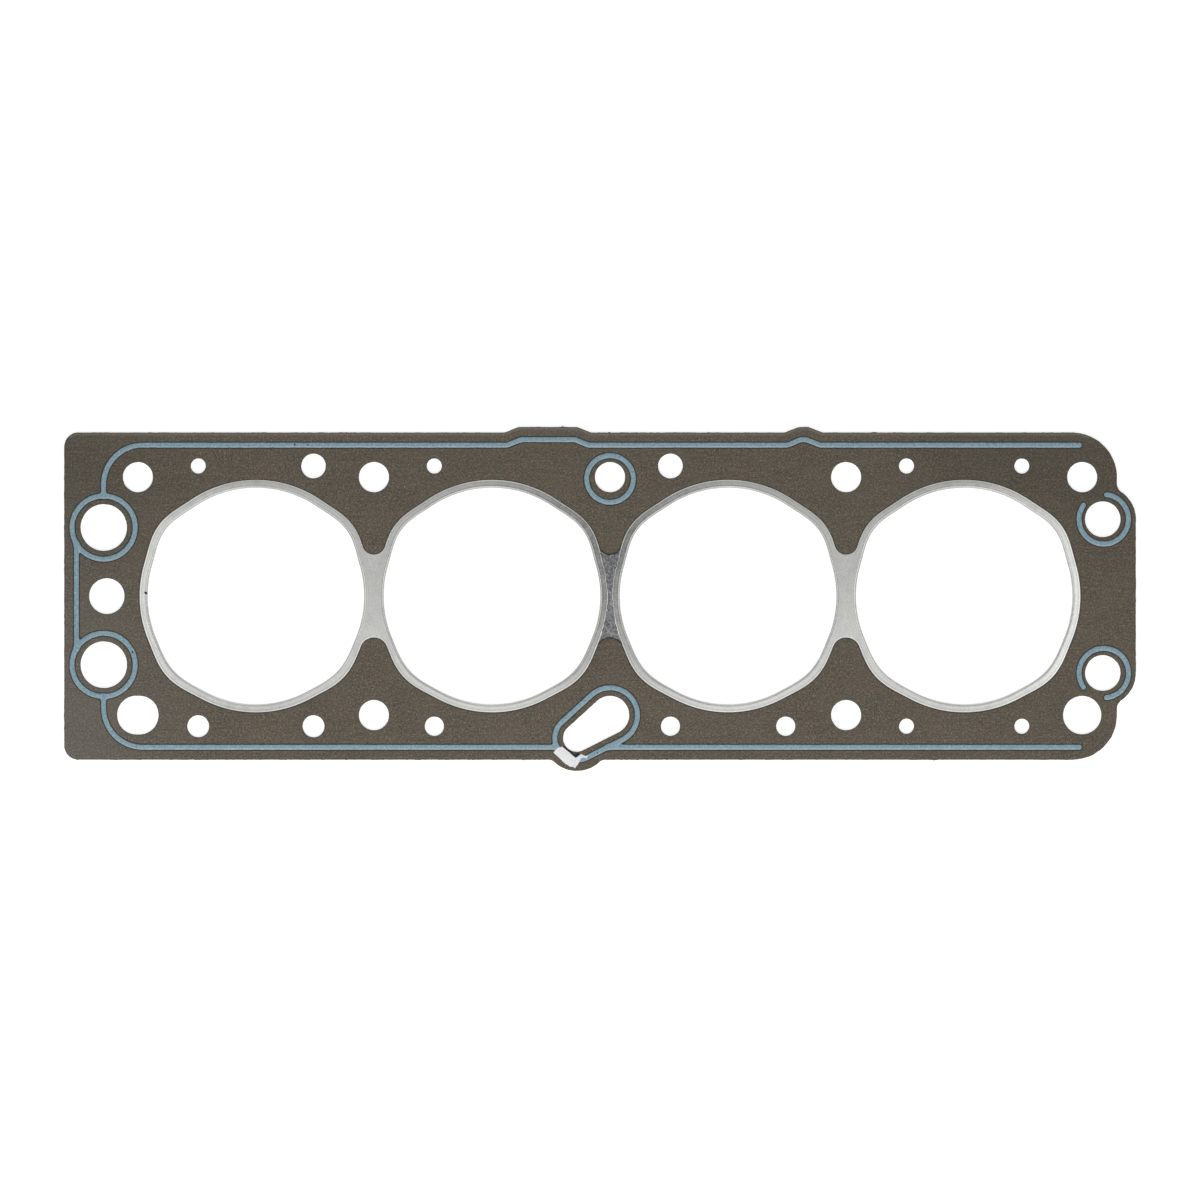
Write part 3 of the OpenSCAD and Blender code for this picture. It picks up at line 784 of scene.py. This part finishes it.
def slab(top, loop_ids, seed, bottom_z):
    """A body under a plate, down to a floor at bottom_z: one height, or one for each point."""
    tris = top.fill(seed)
    floor = top.vertices()
    floor[:, 2] = bottom_z
    body = Body()
    body.add(top.vertices(), tris, top.marks())
    low = body.add(floor, flipped(tris), top.marks())
    body.band(loop_ids + low, loop_ids)
    return body


# Granular coat: how far it lies over the flanges, distances between its points, and how uneven
# its edge is away from its corners
GRAIN_OVERLAP = 0.16
GRAIN_SPACING, GRAIN_MARGIN = 0.24, 0.1
GRAIN_RIM_SPACING, GRAIN_FRAY, FRAY_SIZE = 0.22, 0.09, 0.5
CALM_START, CALM_RUN = 0.5, 2.5
# Its height over the flanges at the rim and inside, how far it sinks towards the middle, and how
# lumpy it is
GRAIN_RIM, RIM_RANGE, GRAIN_RISE, GRAIN_SINK = 0.005, 0.03, 0.02, 0.12
SINK_START, SINK_RUN = 0.15, 0.5
LUMPS, MORE_LUMPS, LUMP_LIMIT = 0.010, 0.025, 1.6
# Dark grains: at the rim, their share inside, and how it grows with y
RIM_DARK = 0.5
DARK, DARK_GROWTH, DARK_Y, DARK_LEAST = 0.45, 0.5, 9, -0.4
GRAIN_SEED = (0.0, 0.05)


def grain_body(seed):
    """Granular coat on the bare middle bridge, a little over the flanges' edges."""
    rng = np.random.default_rng(seed)
    r = FLANGE_R - GRAIN_OVERLAP
    loop = resample(anticlockwise(bare_bridge(r)), GRAIN_RIM_SPACING)
    ends = (180 - TIP_UP, 180 + TIP_DOWN)
    corners = [np.abs(bore_edge(PITCH / 2, r, SWELL, a, a + 1)[0]) for a in ends]
    to_corner = np.min([np.linalg.norm(np.abs(loop) - c, axis=1) for c in corners], axis=0)
    calm = np.clip((to_corner - CALM_START) / CALM_RUN, 0, 1)
    loop = uneven(loop, GRAIN_RIM_SPACING, GRAIN_FRAY * calm, FRAY_SIZE, seed)
    top = Plate()
    rim_z = RING_Z + GRAIN_RIM + rng.uniform(0, RIM_RANGE, len(loop))
    rim = top.loop(loop, rim_z, RIM_DARK, wall=True)
    points, gap = grid_inside(loop, GRAIN_SPACING, GRAIN_MARGIN, seed + 1)
    sink = np.clip((gap - SINK_START) / SINK_RUN, 0, 1)
    lumps = rng.normal(0, 1, len(points)).clip(-LUMP_LIMIT, LUMP_LIMIT)
    share = DARK + DARK_GROWTH * np.clip(points[:, 1] / DARK_Y, DARK_LEAST, 1)
    z = RING_Z + GRAIN_RISE - GRAIN_SINK * sink + lumps * (LUMPS + MORE_LUMPS * sink)
    top.scatter(points, z, rng.uniform(0, 1, len(points)) * share)
    return slab(top, rim, GRAIN_SEED, CORE_Z)


# Torn film: outline round the slot's small end, and its creases: two ends, height and width
FILM = ((-8.5, -5.3), (-6.9, -3.4), (-5.3, -3.1), (-0.4, -7.2), (1.5, -5.8), (2.5, -6.2),
        (3.1, -6.5), (4.2, -6.3), (3.6, -7.4), (2.5, -7.2), (1.7, -7.2), (0.4, -9.5),
        (-0.8, -11.2), (-1.1, -10.5), (-2.5, -10.4), (-4.4, -9.2), (-6.5, -7.0))
CREASES = (((-0.4, -7.2), (-0.9, -11.2), 0.045, 0.5), ((1.45, -5.8), (1.2, -8.3), -0.02, 0.45),
           ((2.5, -6.2), (2.3, -7.3), 0.04, 0.4), ((3.1, -6.5), (3.3, -7.3), -0.01, 0.3))
# Waves of the film: direction, height and length
FILM_WAVES = (((0.62, -0.78), 0.006, 0.8), ((0.78, 0.62), 0.008, 2.7))
FILM_THICK, FILM_LIFT, FILM_OVER_BEAD, RIM_DROP = 0.035, 0.05, 0.11, 0.012
# Distances from the bead's centreline at which the film lies flat, and over which it climbs
FILM_FLAT, FILM_CLIMB = 2.0, 1.1
RIM_SPACING, FILM_SPACING, FILM_MARGIN = 0.25, 0.26, 0.12
FILM_FRAY, SHADOW_FRAY, SMALL_FRAY_SIZE = 0.04, 0.06, 0.6
# Painted shade along the rim and on raised creases; hollow creases get the full amount
RIM_SHADE, FOLD_SHADE = 0.35, 0.7
FILM_SEED = (-4.0, -6.5)


def field_at(field, p):
    """Values of a grid field at some points."""
    u, v = (p[:, 0] - GRID_X[0]) / STEP, (p[:, 1] - GRID_Y[0]) / STEP
    i, j = u.astype(int), v.astype(int)
    return between(field, j, i, v - j, u - i)


def film_body(bead_field):
    """Torn film, draped over the bead, with a folded and crumpled end."""
    loop = resample(anticlockwise(np.array(FILM) + SLOT_SMALL), RIM_SPACING)
    loop = uneven(loop, RIM_SPACING, FILM_FRAY, SMALL_FRAY_SIZE, SEED + 5)
    inner = grid_inside(loop, FILM_SPACING, FILM_MARGIN, SEED + 6)[0]
    points = np.concatenate([loop, inner])
    over_bead = np.clip((FILM_FLAT - field_at(bead_field, points)) / FILM_CLIMB, 0, 1)
    z = FACING_Z + FILM_LIFT + FILM_OVER_BEAD * smooth(over_bead)
    local = points - SLOT_SMALL
    crease_shade = np.zeros(len(points))
    for a, b, height, width in CREASES:
        near = np.clip(1 - to_segment(*local.T, np.array(a), np.array(b)) / width, 0, 1)
        z = z + height * near
        crease_shade = np.maximum(crease_shade, near * (FOLD_SHADE if height > 0 else 1))
    for direction, height, length in FILM_WAVES:
        z = z + height * np.sin(local @ np.array(direction) * 2 * np.pi / length)
    top = Plate()
    n = len(loop)
    z[:n] -= RIM_DROP
    rim = top.loop(loop, z[:n], np.maximum(crease_shade[:n], RIM_SHADE), wall=True)
    top.scatter(inner, z[n:], crease_shade[n:])
    return slab(top, rim, SLOT_SMALL + FILM_SEED, z - FILM_THICK)


# A dark sheet beside the film, a painted shadow of its raised edge, and loose crumbs: place, size and
# the height they lie at
FILM_SHADOW = ((-5.5, -3.3), (-0.5, -7.3), (1.5, -5.9), (0.5, -5.35), (-0.7, -5.95), (-2.2, -4.6),
        (-4.9, -2.75))
CRUMBS = [(-114.8, 55.2, 0.34, BEAD_Z), (-110.0, 55.1, 0.26, BEAD_Z), (-173.9, -20.3, 0.36, BEAD_Z),
          (6.2, 48.8, 0.32, FACING_Z), (-168.95, 1.15, 0.5, RING_Z - 0.03), (-12.1, -29.9, 0.3, FACING_Z),
          (-13.3, -43.8, 0.3, FACING_Z), (-4.6, -57.1, 0.24, BEAD_Z)]
SHADOW_THICK, CRUMB_THICK = 0.03, 0.09
FLAKE_SPACING, FLAKE_MARGIN, FLAKE_SINK = 0.2, 0.06, 0.01
# Its height at the rim and the least inside, as shares of its thickness
FLAKE_RIM, FLAKE_LEAST = 0.3, 0.7
# Crumbs: number of corners, how much longer than wide, and how uneven
CRUMB_POINTS, CRUMB_LONG, CRUMB_ROUGH = 14, 0.25, 0.15
# A flake's filling starts a hair beside its innermost point
NUDGE = (0.003, 0.002)


def flake(body, loop, z, thick, seed):
    """Adds one flat, uneven flake to a body."""
    inner, gap = grid_inside(loop, FLAKE_SPACING, FLAKE_MARGIN, seed)
    rng = np.random.default_rng(seed)
    top = Plate()
    rim = top.loop(loop, z + FLAKE_RIM * thick, wall=True)
    top.scatter(inner, z + thick * rng.uniform(FLAKE_LEAST, 1, len(inner)))
    part = slab(top, rim, inner[np.argmax(gap)] + NUDGE, z - FLAKE_SINK)
    body.add(np.concatenate(part.verts), part.faces, np.concatenate(part.mark))


# Painted shadow: a dark sheet on the facing beside the film's raised edge.
def film_shadow_body():
    body = Body()
    loop = resample(anticlockwise(np.array(FILM_SHADOW) + SLOT_SMALL), RIM_SPACING)
    loop = uneven(loop, RIM_SPACING, SHADOW_FRAY, SMALL_FRAY_SIZE, SEED + 30)
    flake(body, loop, FACING_Z, SHADOW_THICK, SEED + 31)
    return body


def crumbs_body():
    body = Body()
    a = np.linspace(0, 360, CRUMB_POINTS + 1)[:-1]
    for n, (x, y, size, z) in enumerate(CRUMBS):
        rng = np.random.default_rng(SEED + 50 + n)
        r = size * (1 + CRUMB_LONG * np.sin(np.radians(2 * a + rng.uniform(0, 360))))
        r = r * rng.uniform(1 - CRUMB_ROUGH, 1 + CRUMB_ROUGH, len(a))
        flake(body, np.array([x, y]) + polar(r, a), z, CRUMB_THICK, SEED + 70 + n)
    return body


def new_object(name, data):
    thing = bpy.data.objects.new(name, data)
    bpy.context.scene.collection.objects.link(thing)
    return thing


def build(name, body, material, replaces=(), angle=35):
    """Makes a Blender object of a body, under the root body, and hides the CAD parts it replaces."""
    mesh = bpy.data.meshes.new(name)
    mesh.from_pydata((np.concatenate(body.verts) * MM).tolist(), [], body.faces)
    attribute = mesh.attributes.new("mark", "FLOAT", "POINT")
    attribute.data.foreach_set("value", np.concatenate(body.mark).astype(np.float32))
    mesh.polygons.foreach_set("use_smooth", np.ones(len(mesh.polygons), bool))
    mesh.set_sharp_from_angle(angle=math.radians(angle))
    mesh.materials.append(material)
    piece = new_object(name, mesh)
    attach(piece, "root")
    if replaces:
        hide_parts(*replaces)


def srgb(r, g, b):
    """A colour read from the eye's scale of 0 to 255."""
    def linear(c):
        c /= 255
        return c / 12.92 if c <= 0.04045 else ((c + 0.055) / 1.055) ** 2.4
    return linear(r), linear(g), linear(b), 1.0


class Nodes:
    """A node tree, with short ways to add and join nodes."""

    def __init__(self, tree):
        self.tree = tree

    def put(self, socket, value):
        if isinstance(value, bpy.types.NodeSocket):
            self.tree.links.new(value, socket)
        else:
            socket.default_value = value

    def node(self, kind, inputs=None, **settings):
        n = self.tree.nodes.new(kind)
        for key, value in settings.items():
            setattr(n, key, value)
        for key, value in (inputs or {}).items():
            self.put(n.inputs[key], value)
        return n

    def maths(self, operation, a, b=0.0):
        return self.node("ShaderNodeMath", {0: a, 1: b}, operation=operation).outputs[0]

    def product(self, a, b):
        return self.maths("MULTIPLY", a, b)

    def total(self, first, *others):
        for other in others:
            first = self.maths("ADD", first, other)
        return first

    def blend(self, factor, a, b):
        return self.total(a, self.product(factor, self.maths("SUBTRACT", b, a)))

    def length(self, a, b):
        return self.maths("SQRT", self.total(self.product(a, a), self.product(b, b)))

    def remap(self, value, low, high, to_low=0.0, to_high=1.0, curve="LINEAR"):
        inputs = {"Value": value, "From Min": low, "From Max": high, "To Min": to_low, "To Max": to_high}
        return self.node("ShaderNodeMapRange", inputs, interpolation_type=curve).outputs[0]

    def axes(self, place):
        outputs = self.node("ShaderNodeSeparateXYZ", {"Vector": place}).outputs
        return outputs["X"], outputs["Y"]


class Shader(Nodes):
    """A material, with short ways to make patterns in mm."""

    def __init__(self, name):
        self.material = bpy.data.materials.new(name)
        self.material.use_nodes = True
        super().__init__(self.material.node_tree)
        self.surface = self.tree.nodes["Principled BSDF"]
        self.place = self.node("ShaderNodeTexCoord").outputs["Object"]

    @property
    def mark(self):
        return self.node("ShaderNodeAttribute", attribute_name="mark").outputs["Fac"]

    def set(self, **values):
        for key, value in values.items():
            self.put(self.surface.inputs[key.replace("_", " ")], value)

    def stretched(self, scale):
        return self.node("ShaderNodeMapping", {"Vector": self.place, "Scale": scale}).outputs[0]

    def noise(self, size, detail=3.0, roughness=0.6, place=None):
        """Noise with lumps of about a size."""
        inputs = {"Vector": place or self.place, "Scale": 1 / (size * MM), "Detail": detail,
                  "Roughness": roughness}
        return self.node("ShaderNodeTexNoise", inputs).outputs["Fac"]

    def flecks(self, size, inner, outer, share):
        """Round spots, one in each cell of a size, that fade out between two radii."""
        cells = self.node("ShaderNodeTexVoronoi", {"Vector": self.place, "Scale": 1 / (size * MM)})
        return self.remap(cells.outputs["Distance"], inner, outer, share, 0.0)

    def ramp(self, value, *stops):
        """Colours between stops (place, colour)."""
        n = self.node("ShaderNodeValToRGB", {"Fac": value})
        while len(n.color_ramp.elements) < len(stops):
            n.color_ramp.elements.new(0.5)
        for element, (at, colour) in zip(n.color_ramp.elements, stops):
            element.position = at
            element.color = srgb(*colour)
        return n.outputs["Color"]

    def mix(self, factor, a, b):
        return self.node("ShaderNodeMix", {0: factor, 6: a, 7: b}, data_type="RGBA").outputs[2]

    def cover(self, colour, other, value, low, high, share=1.0):
        """A colour, covered by a share of another as a value goes from low to high."""
        return self.mix(self.remap(value, low, high, 0.0, share), colour, srgb(*other))

    def finish(self, colour, relief, depth, strength, **more):
        """Sets the colour, a relief of some depth and what else is given."""
        inputs = {"Height": relief, "Distance": depth * MM, "Strength": strength}
        self.set(Base_Color=colour, Normal=self.node("ShaderNodeBump", inputs).outputs[0], **more)
        return self.material


def facing_material():
    """Pressed fibre: brown-grey, mottled, with faint streaks along the sheet, a painted sheen at the lower
    left end and painted shade at the upper ends."""
    s = Shader("facing_fibre")
    grain = s.noise(0.62, 3.0, 0.8)
    colour = s.ramp(grain, (0.335, (44, 40, 33)), (0.5, (88, 81, 70)), (0.665, (144, 136, 121)))
    tint = s.ramp(s.noise(1.7, 2.0), (0.38, (70, 74, 62)), (0.62, (110, 90, 74)))
    colour = s.mix(0.25, colour, tint)
    streak = s.noise(5.0, 3.0, 0.6, s.stretched((0.3, 8.0, 1.0)))
    colour = s.cover(colour, (68, 62, 53), streak, 0.35, 0.7, 0.4)
    colour = s.cover(colour, (102, 94, 82), s.noise(16.0, 2.0), 0.35, 0.65, 0.25)
    colour = s.mix(s.flecks(1.5, 0.08, 0.15, 0.8), colour, srgb(146, 138, 123))
    x, y = s.axes(s.place)
    # Painted sheen: a lighter, greyer lower left end.
    painted_sheen = s.product(s.remap(x, -0.145, -0.200, 0.0, 0.22), s.remap(y, 0.05, -0.06))
    colour = s.mix(painted_sheen, colour, srgb(132, 133, 134))
    # Painted shade: darker upper ends.
    ends = s.total(s.remap(x, -0.15, -0.19, 0.0, 0.25), s.remap(x, 0.10, 0.13, 0.0, 0.24))
    colour = s.mix(s.product(ends, s.remap(y, -0.002, 0.045)), colour, srgb(46, 42, 36))
    # Marks below 0: the painted highlight along the upper edge.
    colour = s.cover(colour, (146, 142, 133), s.mark, 0.0, -1.0, 0.30)
    # Marks above 0 darken: the punched edges, painted shade beside the flanges and at the window's edge,
    # and painted shade with dark bleed beside the beads.
    colour = s.cover(colour, (38, 36, 33), s.mark, 0.0, 1.0)
    relief = s.total(grain, s.product(streak, 0.5))
    return s.finish(colour, relief, 0.04, 0.6, Roughness=0.48, Specular_IOR_Level=0.3)


def bead_material():
    """Printed sealing compound: dusty blue, a little darker at its foot, where painted shade and dark
    bleed lie, with a painted highlight along its lower side.
    """
    s = Shader("bead_compound")
    fine = s.noise(0.8, 3.0, 0.75)
    colour = s.ramp(fine, (0.3, (96, 123, 134)), (0.5, (130, 157, 168)), (0.70, (166, 190, 198)))
    colour = s.cover(colour, (124, 153, 167), s.noise(9.0, 2.0), 0.35, 0.65, 0.4)
    # Painted shade, with the compound's dark bleed, at the foot.
    colour = s.cover(colour, (52, 62, 68), s.mark, 0.0, 1.0, 0.8)
    # Painted highlight along the lower side.
    colour = s.cover(colour, (196, 200, 206), s.mark, 0.0, -1.0, 0.6)
    return s.finish(colour, fine, 0.03, 0.5, Roughness=0.55, Specular_IOR_Level=0.4)


def metal_material():
    """Tinned sheet steel: satin, drawn round the bores, with a fine grain, dull spots, pits and
    painted shade, with a painted darker reflection near the middle bridge."""
    s = Shader("tinned_sheet")
    grain = s.noise(0.6, 3.0, 0.7)
    colour = s.ramp(grain, (0.3, (219, 219, 215)), (0.52, (226, 226, 222)), (0.75, (234, 234, 230)))
    x, y = s.axes(s.place)
    half = PITCH / 2 * MM
    from_bore = s.node("ShaderNodeMath", {0: s.maths("SUBTRACT", x, half), 1: half, 2: -half},
                       operation="WRAP").outputs[0]
    rings = {"W": s.length(from_bore, y), "Scale": 1 / (0.45 * MM), "Detail": 2.0}
    drawn = s.node("ShaderNodeTexNoise", rings, noise_dimensions="1D").outputs["Fac"]
    colour = s.cover(colour, (200, 200, 197), drawn, 0.4, 0.65, 0.33)
    colour = s.cover(colour, (202, 202, 209), s.noise(3.5, 3.0), 0.45, 0.7, 0.4)
    colour = s.mix(s.flecks(1.7, 0.06, 0.12, 0.4), colour, srgb(158, 158, 158))
    # Marks: painted shade on the rolled edges and flanges, and a painted darker reflection near the middle
    # bridge.
    colour = s.mix(s.product(s.mark, 0.5), colour, srgb(132, 132, 130))
    satin = s.remap(s.noise(2.0, 2.0), 0.3, 0.7, 0.10, 0.13)
    return s.finish(colour, grain, 0.0003, 0.5, Metallic=1.0, Roughness=satin)


def core_material():
    """Bare core sheet: dull blue-grey steel."""
    s = Shader("core_steel")
    grain = s.noise(0.5, 4.0, 0.75)
    colour = s.ramp(grain, (0.32, (62, 65, 71)), (0.5, (96, 99, 106)), (0.68, (146, 149, 154)))
    return s.finish(colour, grain, 0.06, 0.8, Metallic=0.6, Roughness=0.5)


def grain_material():
    """Granular coat of the bare bridge: dark blue-grey with bright grains."""
    s = Shader("bridge_grains")
    fine = s.noise(0.9, 3.0, 0.8)
    colour = s.ramp(fine, (0.37, (76, 79, 82)), (0.5, (113, 115, 117)), (0.63, (154, 155, 157)))
    colour = s.mix(s.flecks(1.0, 0.12, 0.26, 0.8), colour, srgb(172, 173, 174))
    colour = s.cover(colour, (62, 65, 69), s.mark, 0.35, 1.0, 0.85)
    return s.finish(colour, fine, 0.04, 0.6, Roughness=0.45, Specular_IOR_Level=0.5)


def film_material():
    """Thin white film, matt, with faint ribs and painted shade along its rim and creases."""
    s = Shader("white_film")
    ribs = s.noise(0.8, 2.0, 0.5, s.stretched((1.0, 3.0, 1.0)))
    colour = s.ramp(ribs, (0.35, (224, 225, 227)), (0.65, (240, 241, 242)))
    # Painted shade from the marks.
    colour = s.mix(s.product(s.mark, 0.28), colour, srgb(166, 168, 171))
    return s.finish(colour, ribs, 0.02, 0.5, Roughness=0.55)


def dirt_and_shadow_material():
    """Dark crumbs, and the dark sheet of painted shadow beside the film."""
    s = Shader("dark_dirt_and_shadow")
    lumps = s.noise(0.5, 3.0, 0.6)
    colour = s.ramp(lumps, (0.35, (22, 21, 20)), (0.65, (46, 43, 39)))
    return s.finish(colour, lumps, 0.03, 0.6, Roughness=0.7, Specular_IOR_Level=0.3)


def paint_nodes(material, *names):
    """Gives CAD nodes that stay a better material."""
    for name in names:
        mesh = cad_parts[name].data
        mesh.materials.clear()
        mesh.materials.append(material)


# The beads' rounds where branches meet, and their wobble: height and length
BRANCH_ROUND = 0.9
WOBBLE = ((0.035, 1.3), (0.02, 0.6))


def bead_fields():
    """Distance from each bead's centreline, with small rounds where branches meet and a wobble."""
    wobble = sum(height * cloud(cell, SEED + k) for k, (height, cell) in enumerate(WOBBLE))
    fields = {}
    for name, branches in bead_paths().items():
        field = distance(branches[0])
        for path in branches[1:]:
            field = smooth_min(field, distance(path), BRANCH_ROUND)
        fields[name] = field + wobble
    return fields


def make_sheet(fields):
    """The facings and the beads on them. Each bead is filled from its centreline's first point."""
    facing, bead = facing_material(), bead_material()
    top = facing_body(fields)
    build("facing_sheet_top", top, facing, ["facing_top"])
    build("facing_sheet_bottom", top.mirrored(), facing, ["facing_bottom"])
    for name, branches in bead_paths().items():
        body = bead_body(fields[name], branches[0][0])
        build(name + "_print_top", body, bead, [name + "_top"], 50)
        build(name + "_print_bottom", body.mirrored(), bead, [name + "_bottom"], 50)


def make_rings():
    metal = metal_material()
    for name, side in (("left", -1), ("right", 1)):
        build(f"ring_sheet_{name}", ring_body(side), metal, [f"fire_ring_{name}"], 40)


def make_details(bead_field):
    """Grain on the bare bridge, the torn film, its painted shadow, and the crumbs."""
    grain, shade_and_dirt = grain_material(), dirt_and_shadow_material()
    coat = grain_body(SEED + 20)
    build("bridge_grains_top", coat, grain, angle=70)
    under = coat.mirrored()
    under.verts = [np.maximum(v, (-math.inf, -math.inf, -RING_Z)) for v in under.verts]
    build("bridge_grains_bottom", under, grain, angle=70)
    build("film_scrap", film_body(bead_field), film_material(), ["torn_film"], 60)
    # A sheet of painted shadow beside the film.
    build("film_shadow_sheet", film_shadow_body(), shade_and_dirt, angle=60)
    build("dirt_crumbs", crumbs_body(), shade_and_dirt, angle=50)


# Camera and floor, in metres
CAMERA_HEIGHT, CAMERA_REACH = 1.35, 20
CAMERA_X, CAMERA_Y = -3.65 * MM, -1.41 * MM
FRAME_WIDTH = 0.4369
SENSOR = 36.0
FLOOR_HALF, FLOOR_GREY, FLOOR_GLOW = 3.0, 0.62, 0.70


def make_camera():
    data = bpy.data.cameras.new("camera")
    data.sensor_width = SENSOR
    data.lens = SENSOR * (CAMERA_HEIGHT - RING_Z * MM) / FRAME_WIDTH
    data.clip_end = CAMERA_REACH
    camera = new_object("camera", data)
    camera.location = (CAMERA_X, CAMERA_Y, CAMERA_HEIGHT)
    bpy.context.scene.camera = camera


def make_floor():
    """White floor that the gasket lies on. It looks white to the camera and keeps the shadow."""
    mesh = bpy.data.meshes.new("floor")
    h, z = FLOOR_HALF, -RING_Z * MM
    mesh.from_pydata([(-h, -h, z), (h, -h, z), (h, h, z), (-h, h, z)], [], [(0, 1, 2, 3)])
    floor = new_object("floor", mesh)
    s = Shader("floor_white")
    s.set(Base_Color=(FLOOR_GREY, FLOOR_GREY, FLOOR_GREY, 1), Roughness=0.9, Specular_IOR_Level=0.1)
    path = s.node("ShaderNodeLightPath").outputs
    seen = s.maths("MAXIMUM", path["Is Camera Ray"], path["Is Glossy Ray"])
    glow = s.node("ShaderNodeEmission", {"Strength": s.product(seen, FLOOR_GLOW)})
    both = s.node("ShaderNodeAddShader", {0: s.surface.outputs[0], 1: glow.outputs[0]})
    s.put(s.tree.nodes["Material Output"].inputs["Surface"], both.outputs[0])
    mesh.materials.append(s.material)


# Light: even from the world, the rest from softboxes. Metal sees a studio that is dim straight
# overhead and lighter towards the front, the sides and the horizon. Directions are given by
# their x and y, so by the tilt from straight up.
EVEN_LIGHT = 0.38
OVERHEAD, AROUND = 0.0, 0.92
SPOT, SPOT_EDGE, SPOT_Y, SPOT_SQUEEZE = 0.0116, 0.0384, 0.0108, 0.5
FRONT_RISE, FRONT_LIMIT = 3.7, 0.0987
LEFT_RISE, RIGHT_RISE, SIDE_START, SIDE_LIMIT = 26.4, 31.0, 0.1105, 0.0589
SIDE_DIP, DIP_START, DIP_END = 0.444, 0.0702, 0.0857
TWIST, TWIST_LIMIT = 0.072, 0.004
WALL, WALL_FRONT, WALL_SIDE = 0.82, 0.06, 0.36
WALL_DEPTH, WALL_WIDTH = 0.4, 0.35
WALL_TILT, HORIZON_TILT = (0.16, 0.30), (0.70, 0.97)


def studio(w, x, y):
    """How bright the studio is to metal in the direction x, y."""
    spot_x, spot_y = w.product(x, SPOT_SQUEEZE), w.maths("SUBTRACT", y, SPOT_Y)
    sideways = w.maths("ABSOLUTE", x)
    front, right, left = FRONT_RISE * FRONT_LIMIT, RIGHT_RISE * SIDE_LIMIT, LEFT_RISE * SIDE_LIMIT
    glow = w.total(
        w.remap(w.length(spot_x, spot_y), SPOT, SPOT_EDGE, OVERHEAD, AROUND, "SMOOTHSTEP"),
        w.remap(y, -FRONT_LIMIT, FRONT_LIMIT, front, -front),
        w.remap(x, SIDE_START, SIDE_START + SIDE_LIMIT, 0.0, right),
        w.remap(x, -SIDE_START, -SIDE_START - SIDE_LIMIT, 0.0, left),
        w.remap(sideways, DIP_START, DIP_END, 0.0, -SIDE_DIP, "SMOOTHSTEP"),
        w.remap(w.product(x, y), -TWIST_LIMIT, TWIST_LIMIT, TWIST, -TWIST))
    wall = w.total(w.remap(y, -WALL_DEPTH, WALL_DEPTH, WALL + WALL_FRONT, WALL - WALL_FRONT),
                   w.remap(sideways, 0.0, WALL_WIDTH, 0.0, -WALL_SIDE))
    tilt = w.length(x, y)
    glow = w.blend(w.remap(tilt, *WALL_TILT, curve="SMOOTHSTEP"), glow, wall)
    return w.blend(w.remap(tilt, *HORIZON_TILT, curve="SMOOTHSTEP"), glow, 1.0)


def make_world():
    """Plain white to the camera, even to matt surfaces and a studio's gradient to metal."""
    world = bpy.data.worlds.new("studio")
    world.use_nodes = True
    bpy.context.scene.world = world
    w = Nodes(world.node_tree)
    glow = studio(w, *w.axes(w.node("ShaderNodeTexCoord").outputs["Generated"]))
    path = w.node("ShaderNodeLightPath").outputs
    level = w.blend(path["Is Glossy Ray"], EVEN_LIGHT, glow)
    level = w.maths("MAXIMUM", level, path["Is Camera Ray"])
    background = w.tree.nodes["Background"].inputs
    background["Color"].default_value = (1, 1, 1, 1)
    w.put(background["Strength"], level)


# Softboxes: place, width, depth and power, in metres and watts
LAMPS = {"softbox_front": ((-0.04, -0.46, 0.48), 0.7, 0.5, 2.9),
         "softbox_left": ((-0.80, 0.10, 0.90), 0.8, 0.8, 1.5),
         "softbox_right": ((0.75, -0.05, 1.00), 0.8, 0.8, 1.3)}


def make_lamps():
    """Softboxes that point at the part and light matt surfaces."""
    for name, (place, width, depth, power) in LAMPS.items():
        data = bpy.data.lights.new(name, "AREA")
        data.shape = "RECTANGLE"
        data.size, data.size_y, data.energy = width, depth, power
        lamp = new_object(name, data)
        lamp.location = place
        lamp.rotation_euler = (-Vector(place)).to_track_quat("-Z", "Y").to_euler()
        lamp.visible_camera = False
        lamp.visible_glossy = False


bpy.context.scene.view_settings.view_transform = "Standard"
make_camera()
make_world()
make_lamps()
make_floor()
fields = bead_fields()
make_sheet(fields)
make_rings()
make_details(fields["edge_bead"])
paint_nodes(core_material(), "core_plate")
